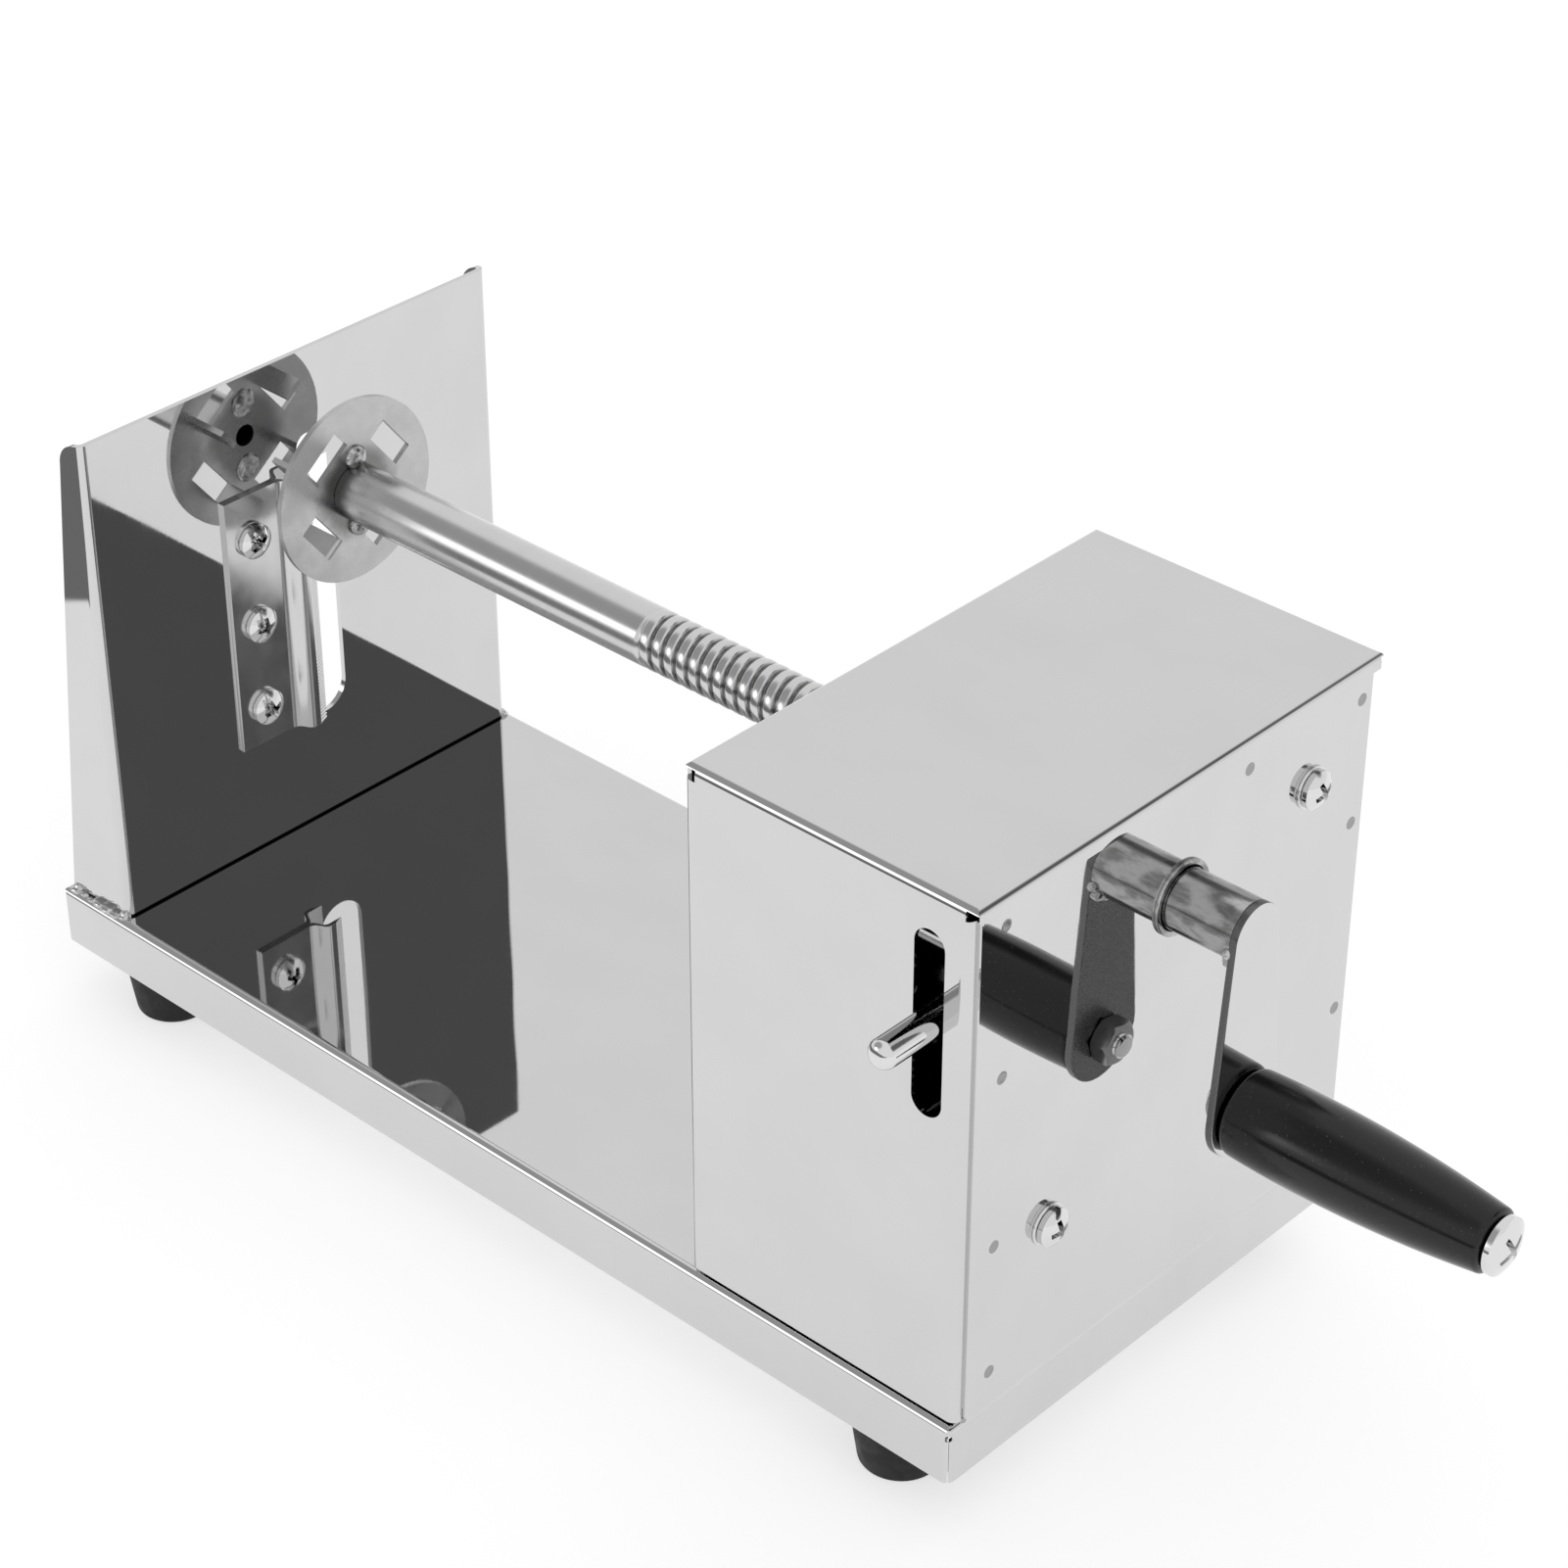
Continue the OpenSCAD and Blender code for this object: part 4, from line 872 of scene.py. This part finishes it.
class CUTTER_OT_spindle(Operator):
    """Spindle: plain tube, rolled feed thread, fork disc, stud and tack welds"""

    bl_idname = "cutter.spindle"
    bl_label = "Spindle"

    def execute(self, context):
        metal = context.scene.cutter_metal
        thread = context.scene.cutter_thread
        wall, tinted_reach, scorched_reach = 2, 4, 13
        low, high = box_mm("spindle_tube")
        centre = centre_mm("spindle_tube")
        outer = (high.z - low.z) / 2
        bore = outer - wall
        section = [(low.x, bore, 0.2), (low.x, outer, 0.3), (high.x, outer, 0.2), (high.x, bore, 0.1)]
        tinted = heat_tinted_stainless(metal, low.x, tinted_reach)
        revolved("spindle_tube", section, along_x(0, 0, centre.z), tinted)
        self.feed_screw(thread, metal, bore)
        scorched = scorched_disc_steel(metal, (low.x, 0, centre.z), scorched_reach)
        dressed("fork_disc", scorched, metal.edge)
        dressed("crank_stud", shared(turned_stainless), metal.fine_edge)
        self.tack_welds(metal)
        return {"FINISHED"}

    def feed_screw(self, thread, metal, bore):
        """The thread is one grid: its radius follows the place along a turn."""
        low, high = box_mm("feed_screw")
        centre = centre_mm("feed_screw")
        crest = (high.z - low.z) / 2
        pitch, depth, columns = thread.pitch / MM, thread.depth / MM, thread.columns
        rolled = rolled_thread_steel(metal, centre.z, crest, depth)
        run_out = pitch * 0.9
        rows = math.ceil((high.x - low.x) / (pitch / 18))
        # Shares of one turn that the crest and each wall of the groove take, and the crest's crown
        crest_share, wall_share, crown = 0.55, 0.14, 0.1

        def wall(share):
            """How deep the groove is at a share of a turn from the wall's top: smoothly from 0 to 1."""
            down = min(1, max(0, share / wall_share))
            return down * down * (3 - 2 * down)

        def radius(x, turn):
            u = ((x - low.x) / pitch - turn) % 1
            groove = min(wall(u - crest_share), wall(1 - u))
            swell = crown * ((u / crest_share - 0.5) * 2) ** 2 if u < crest_share else crown
            fade = min(1, (x - low.x) / run_out, (high.x - x) / run_out)
            return crest - max(swell * (1 - groove), depth * groove) * max(0, fade)

        bm = bmesh.new()
        rings = []
        turns = [j / columns for j in range(columns)]
        for i in range(rows + 1):
            x = low.x + (high.x - low.x) * i / rows
            points = [(radius(x, t), math.tau * t) for t in turns]
            rings.append([bm.verts.new((x, r * math.cos(a), centre.z + r * math.sin(a))) for r, a in points])
        angles = [math.tau * j / columns for j in range(columns)]
        inside = [(bore * math.cos(a), centre.z + bore * math.sin(a)) for a in angles]
        for x in (high.x, low.x):
            rings.append([bm.verts.new((x, y, z)) for y, z in inside])
        for a, b in zip(rings, rings[1:] + rings[:1]):
            bridge(bm, a, b)
        finish_piece(bm, "feed_screw_rolled", rolled, "feed_screw", crease=60)

    def tack_welds(self, metal):
        """Two beads in the corner of tube and disc, and the round burns on the disc's far face."""
        low, high = box_mm("tack_welds")
        tube = box_mm("spindle_tube")[0].x
        centre = centre_mm("tack_welds")
        weld_r, disc = 4, 1.5
        burn_h = tube - low.x - disc
        section = [
            (0, weld_r, 0),
            (-burn_h * 0.5, weld_r - 0.5, 0.3),
            (-burn_h * 0.4, weld_r - 1.2, 0.3),
            (-burn_h, 0, 0),
        ]
        burn = rounded(section) + [(0.2, 0), (0.2, weld_r - 0.2)]
        bm = bmesh.new()
        for side in (-1, 1):
            up = centre.z + side * ((high.z - low.z) / 2 - weld_r)
            lump(bm, along_x(tube + 0.2, 0.3, up), (2.1, 3.4, 3.2), 0.03, side)
            lathe(bm, burn, along_x(tube - disc, 0, up), 40, closed=True)
        finish_piece(bm, "tack_welds_cooled", weld_metal(metal, "tinted_weld_metal", 0.75), "tack_welds")


class CUTTER_OT_crank(Operator):
    """Crank: hub, arm, grip bolt and nut"""

    bl_idname = "cutter.crank"
    bl_label = "Crank"

    def execute(self, context):
        metal = context.scene.cutter_metal
        low, high = box_mm("crank_hub")
        centre = centre_mm("crank_hub")
        outer, stud_r = (high.z - low.z) / 2, 4.6
        section = [(low.x, stud_r, 0.2), (low.x, outer, 0.6), (high.x, outer, 0.1), (high.x, stud_r, 0.1)]
        revolved("crank_hub", section, along_x(0, 0, centre.z), shared(worn_hub_steel))
        arm = dressed("crank_arm", shared(mirror_polished_stainless), metal.edge)
        arm.data.materials.append(sawn_edge_steel("sawn_edge_steel", metal.sawn))
        # The face towards +X is polished; the rim gets the dull sawn colour, and the back gets the same dark
        # colour as painted shade
        for face in arm.data.polygons:
            face.material_index = 0 if face.normal.x > 0.9 else 1
        bolt_low, bolt_high = box_mm("grip_bolt")
        nut_low, nut_high = box_mm("grip_nut")
        up = centre_mm("grip_bolt").z
        seat, pitch, bolt_roll, nut_roll = bolt_high.x - M6_HEAD_H, 1.0, 0.5, 0.3
        bolt = pan_screw(M6_D, M6_HEAD_D, M6_HEAD_H, seat - bolt_low.x, pitch)
        fasteners("grip_bolt", bolt, [along_x(seat, 0, up, bolt_roll)], shared(bright_plated_steel))
        nut = hex_nut(M6_FLATS, nut_high.x - nut_low.x, M6_D)
        fasteners("grip_nut", nut, [along_x(nut_low.x, 0, up, nut_roll)], dulled_plated_steel(metal))
        self.hub_weld(outer, centre.z)
        return {"FINISHED"}

    def hub_weld(self, hub_r, up):
        """Five drops in the corner of arm and hub, one of them larger."""
        reach, drop, large_drop = hub_r - 0.3, (1.4, 1.8, 1.5), (2.0, 2.3, 2.0)
        x = box_mm("crank_arm")[0].x - 0.4
        drops = []
        for i in range(5):
            a = math.radians(200 + 22 * i)
            place = along_x(x, reach * math.cos(a), up + reach * math.sin(a))
            drops.append((place, large_drop if i == 1 else drop, 0.12))
        weld_bead("crank_weld_bead", drops, "spindle", "ground_steel")


class CUTTER_OT_grip(Operator):
    """Moulded handle grip"""

    bl_idname = "cutter.grip"
    bl_label = "Grip"

    def execute(self, context):
        low, high = box_mm("handle_grip")
        centre = centre_mm("handle_grip")
        size = high.x - low.x
        root_r, belly_r, end_r, belly = 10.5, 11, 7.6, 0.3
        bore_r, lip = 3.1, 1.5

        def radius(u):
            """A parabola through the grip's root, belly and end."""
            return (
                root_r * (u - belly) * (u - 1) / belly
                + belly_r * u * (u - 1) / (belly * (belly - 1))
                + end_r * u * (u - belly) / (1 - belly)
            )

        side = [(low.x + size * u, radius(u), 0) for u in [0.03 + 0.94 * i / 30 for i in range(31)]]
        corners = [(low.x, bore_r, 0.2), (low.x, root_r - 0.9, 0.6), (low.x + 1.0, root_r, 0.8)]
        corners += side
        corners += [(high.x - 0.9, end_r + 0.1, 0.5), (high.x, end_r - lip, 0.8), (high.x, bore_r, 0.2)]
        plastic = moulded_grip_plastic(context.scene.cutter_black)
        revolved("handle_grip", corners, along_x(0, 0, centre.z), plastic, "_moulded")
        return {"FINISHED"}


class CUTTER_OT_bushings(Operator):
    """Flanged bushings that carry the spindle"""

    bl_idname = "cutter.bushings"
    bl_label = "Bushings"

    def execute(self, context):
        bore_r, barrel_step = 7.85, 0.68
        for node in ("front_bushing", "rear_bushing"):
            front = node == "front_bushing"
            low, high = box_mm(node)
            centre = centre_mm(node)
            flange_r = (high.z - low.z) / 2
            barrel_r = flange_r - barrel_step
            panel = box_mm(node.replace("bushing", "panel"))
            flange = panel[0].x - low.x if front else high.x - panel[1].x
            sheet = (high.x - low.x - flange) / 2
            section = [
                (0, bore_r, 0.3),
                (0, flange_r, 0.6),
                (flange, flange_r, 0.2),
                (flange, barrel_r, 0),
                (flange + sheet, barrel_r, 0),
                (flange + sheet, flange_r, 0.2),
                (flange + 2 * sheet, flange_r, 0.4),
                (flange + 2 * sheet, bore_r, 0.2),
            ]
            place = along_x(low.x, 0, centre.z) if front else along_minus_x(high.x, 0, centre.z)
            revolved(node, section, place, shared(turned_stainless if front else worn_hub_steel))
        return {"FINISHED"}


class CUTTER_OT_release_lever(Operator):
    """Release lever with half nut, pin and return spring"""

    bl_idname = "cutter.release_lever"
    bl_label = "Release lever"

    def execute(self, context):
        metal = context.scene.cutter_metal
        dressed("release_lever", shared(ground_stainless), metal.edge)
        dressed("half_nut", machined_brass(metal), metal.fine_edge)
        dressed("return_spring", shared(turned_stainless), 0)
        low, high = box_mm("lever_pin")
        centre = centre_mm("lever_pin")
        r = (high.z - low.z) / 2
        size = high.y - low.y
        tip_l, turns = 2.6, [math.radians(10 * i) for i in range(9)]
        tip = [(size - tip_l * (1 - math.sin(a)), r * math.cos(a) ** 0.8) for a in turns]
        side = rounded([(0, 0, 0), (0, r, 0.4), (size - tip_l - 0.1, r, 0)])[1:]
        bm = bmesh.new()
        lathe(bm, [(0, 0)] + side + tip + [(size, 0)], towards_minus_y(centre.x, high.y, centre.z), 64)
        lever_low, lever_high = box_mm("release_lever")
        slit_w, depth = lever_high.x - lever_low.x + 0.04, high.y - lever_low.y
        middle = Matrix.Translation((centre.x, high.y - depth / 2 + 0.5, centre.z))
        slit = bmesh.new()
        bmesh.ops.create_cube(slit, size=1, matrix=middle @ Matrix.Diagonal((slit_w, depth + 1, 3 * r, 1)))
        pin = cut_out(bm, slit)
        broken_edges(pin, 0.1, 40)
        finish_piece(pin, "lever_pin_turned", shared(bright_plated_steel), "lever_pin")
        return {"FINISHED"}


class CUTTER_OT_panel_screws(Operator):
    """Screws, washers, spacer and nuts in the rear panel"""

    bl_idname = "cutter.panel_screws"
    bl_label = "Panel screws"

    def execute(self, context):
        plated = shared(bright_plated_steel)
        washer_d, pitch = 10.6, 1.0
        for name, roll in (("pivot", 0.4), ("anchor", 0.15)):
            low, high = box_mm(name + "_screw")
            washer_low, washer_high = box_mm(name + "_washer")
            nut_low, nut_high = box_mm(name + "_nut")
            middle = centre_mm(name + "_screw")
            seat = washer_high.x
            screw = pan_screw(M5_D, M5_HEAD_D, high.x - seat, seat - low.x, pitch)
            ring = washer(washer_d, M5_HOLE_D, washer_high.x - washer_low.x)
            nut = hex_nut(M5_FLATS, nut_high.x - nut_low.x, M5_D)
            fasteners(name + "_screw", screw, [along_x(seat, middle.y, middle.z, roll)], plated)
            fasteners(name + "_washer", ring, [along_x(washer_low.x, middle.y, middle.z)], plated)
            fasteners(name + "_nut", nut, [along_x(nut_low.x, middle.y, middle.z)], plated)
        dressed("pivot_spacer", shared(turned_stainless), context.scene.cutter_metal.fine_edge)
        return {"FINISHED"}


class CUTTER_OT_welds(Operator):
    """Spot welds on the panels and weld beads at the blade plate"""

    bl_idname = "cutter.welds"
    bl_label = "Welds"

    def execute(self, context):
        pressed = sawn_edge_steel("pressed_spot_steel", context.scene.cutter_metal.pressed)
        panel_x = box_mm("rear_panel")[1].x
        cover_x = box_mm("front_panel")[0].x - SHEET
        far_side = [(63.4, 161.8), (63.3, 128.8), (63.5, 76.6)]
        near_side = [(-58.9, 124.4), (-59.5, 79.1), (-59.6, 43.7)]
        rear = [(-59.2, 163.6), (22.3, 162.9)] + far_side + near_side
        front = [(side * 63.5, height) for side in (-1, 1) for height in (40, 60, 101, 140, 160)]
        self.spot_welds("rear_spot_welds", [along_x(panel_x, y, z) for y, z in rear], pressed)
        self.spot_welds("front_spot_welds", [along_minus_x(cover_x, y, z) for y, z in front], pressed)
        for side, name in ((-1, "left"), (1, "right")):
            weld_bead("plate_weld_bead_" + name, self.plate_drops(side), "frame", "polished_sheet")
        return {"FINISHED"}

    def spot_welds(self, name, places, pressed):
        """Shallow rings that the welding tips leave."""
        ring, rim, height, dish, under = 1.3, 0.3, 0.07, 0.02, -0.05
        outer = ring + rim
        profile = [(dish, 0), (dish, ring - rim), (height, ring), (dish, outer), (under, outer), (under, 0)]
        bm = bmesh.new()
        for place in places:
            lathe(bm, profile, place, 32)
        finish_piece(bm, name, pressed, body="frame", slot="polished_sheet")

    def plate_drops(self, side):
        """Drops of uneven size along the plate's foot on one side, with one more at each end."""
        low, high = box_mm("blade_plate")
        tray_top = box_mm("base_tray")[1].z
        y, margin, rough = high.y * side, 1.6, 0.1
        drops = []
        for i in range(7):
            x = low.x + margin + (high.x - low.x - 2 * margin) * (i / 6)
            swell = 1 + 0.3 * math.sin(5.1 * i)
            place = along_x(x, y + 0.45 * side, tray_top - 0.1 + 0.25 * math.sin(2.3 * i))
            drops.append((place, (2.4 * swell, 1.5 * swell, 0.9 * swell), rough))
        for x in (low.x + 1.8, high.x - 1.5):
            drops.append((along_x(x, y - 0.2 * side, tray_top + 0.3), (1.8, 1.3, 1.5), rough))
        return drops


class CUTTER_OT_stage(Operator):
    """Floor, soft light all round and camera"""

    bl_idname = "cutter.stage"
    bl_label = "Stage"

    def execute(self, context):
        studio = context.scene.cutter_studio
        self.floor(studio)
        self.sky(studio)
        self.camera(studio)
        context.scene.view_settings.view_transform = "Standard"
        return {"FINISHED"}

    def floor(self, studio):
        """A square floor, in metres."""
        side = 14
        bm = bmesh.new()
        bmesh.ops.create_grid(bm, x_segments=1, y_segments=1, size=side / 2)
        mesh = bpy.data.meshes.new("floor")
        bm.to_mesh(mesh)
        bm.free()
        mesh.materials.append(pale_paper(studio))
        floor = bpy.data.objects.new("floor", mesh)
        bpy.context.scene.collection.objects.link(floor)

    def sky(self, studio):
        """Soft light all round, with one dark doorway, one grey wall and one strip light."""
        world = bpy.data.worlds.new("soft_studio")
        bpy.context.scene.world = world
        world.use_nodes = True
        tree = world.node_tree
        tree.nodes.clear()
        way = add_node(tree, "ShaderNodeTexCoord").outputs["Generated"]

        def towards(direction, wide, narrow):
            """How nearly a ray goes in a direction: 0 past wide degrees, 1 within narrow."""
            inputs = {0: way, 1: Vector(direction).normalized()}
            near = add_node(tree, "ShaderNodeVectorMath", inputs, operation="DOT_PRODUCT").outputs["Value"]
            return levels(tree, (near, math.cos(math.radians(wide)), math.cos(math.radians(narrow)), 0, 1))

        wall = towards((-0.57, -0.45, 0.68), 36, 18)
        doorway = towards((0.606, 0.565, 0.559), 21, 8)
        strip = towards((-0.57, -0.79, 0.25), 13, 3)
        light = (studio.sky, studio.sky, studio.sky, 1)
        for share, bright in ((wall, studio.wall), (doorway, studio.doorway), (strip, studio.strip)):
            inputs = {0: share, 6: light, 7: (bright, bright, bright, 1)}
            light = add_node(tree, "ShaderNodeMix", inputs, data_type="RGBA").outputs[2]
        seen = add_node(tree, "ShaderNodeBackground", {"Color": light, "Strength": 1.0}).outputs[0]
        white = add_node(tree, "ShaderNodeBackground", {"Color": (1, 1, 1, 1), "Strength": 1.0}).outputs[0]
        direct = add_node(tree, "ShaderNodeLightPath").outputs["Is Camera Ray"]
        both = add_node(tree, "ShaderNodeMixShader", {0: direct, 1: seen, 2: white}).outputs[0]
        add_node(tree, "ShaderNodeOutputWorld", {"Surface": both})

    def camera(self, studio):
        """A camera that looks down at the crank's end from the right."""
        azimuth, elevation, roll = (math.radians(a) for a in (42.883, 33.22, 0.017))
        place = Vector((582.5, -584.34, 639.83)) * MM
        data = bpy.data.cameras.new("camera")
        data.lens = studio.lens
        data.sensor_width = 36
        data.clip_start = 10 * MM
        camera = bpy.data.objects.new("camera", data)
        turn = Matrix.Rotation(azimuth, 4, "Z") @ Matrix.Rotation(math.pi / 2 - elevation, 4, "X")
        camera.matrix_world = Matrix.Translation(place) @ (turn @ Matrix.Rotation(roll, 4, "Z"))
        bpy.context.scene.collection.objects.link(camera)
        bpy.context.scene.camera = camera


class CUTTER_PT_pieces(Panel):
    """Lists the cutter's pieces and settings"""

    bl_idname = "CUTTER_PT_pieces"
    bl_label = "Tornado potato cutter"
    bl_space_type = "VIEW_3D"
    bl_region_type = "UI"
    bl_category = "Cutter"

    def draw(self, context):
        for operator in OPERATORS:
            self.layout.operator(operator.bl_idname)
        for group in GROUPS:
            settings = getattr(context.scene, group)
            for name in settings.__annotations__:
                self.layout.prop(settings, name)


GROUPS = {
    "cutter_metal": CutterMetal,
    "cutter_black": CutterBlack,
    "cutter_thread": CutterThread,
    "cutter_studio": CutterStudio,
}
OPERATORS = (
    CUTTER_OT_sheet_metal,
    CUTTER_OT_feet,
    CUTTER_OT_knife,
    CUTTER_OT_spindle,
    CUTTER_OT_crank,
    CUTTER_OT_grip,
    CUTTER_OT_bushings,
    CUTTER_OT_release_lever,
    CUTTER_OT_panel_screws,
    CUTTER_OT_welds,
    CUTTER_OT_stage,
)
CLASSES = (*GROUPS.values(), *OPERATORS, CUTTER_PT_pieces)


def register():
    for cls in CLASSES:
        bpy.utils.register_class(cls)
    for name, group in GROUPS.items():
        setattr(bpy.types.Scene, name, PointerProperty(type=group))


def unregister():
    for name in GROUPS:
        delattr(bpy.types.Scene, name)
    for cls in reversed(CLASSES):
        bpy.utils.unregister_class(cls)


def main():
    register()
    for operator in OPERATORS:
        group, name = operator.bl_idname.split(".")
        getattr(getattr(bpy.ops, group), name)()


if __name__ == "__main__":
    main()
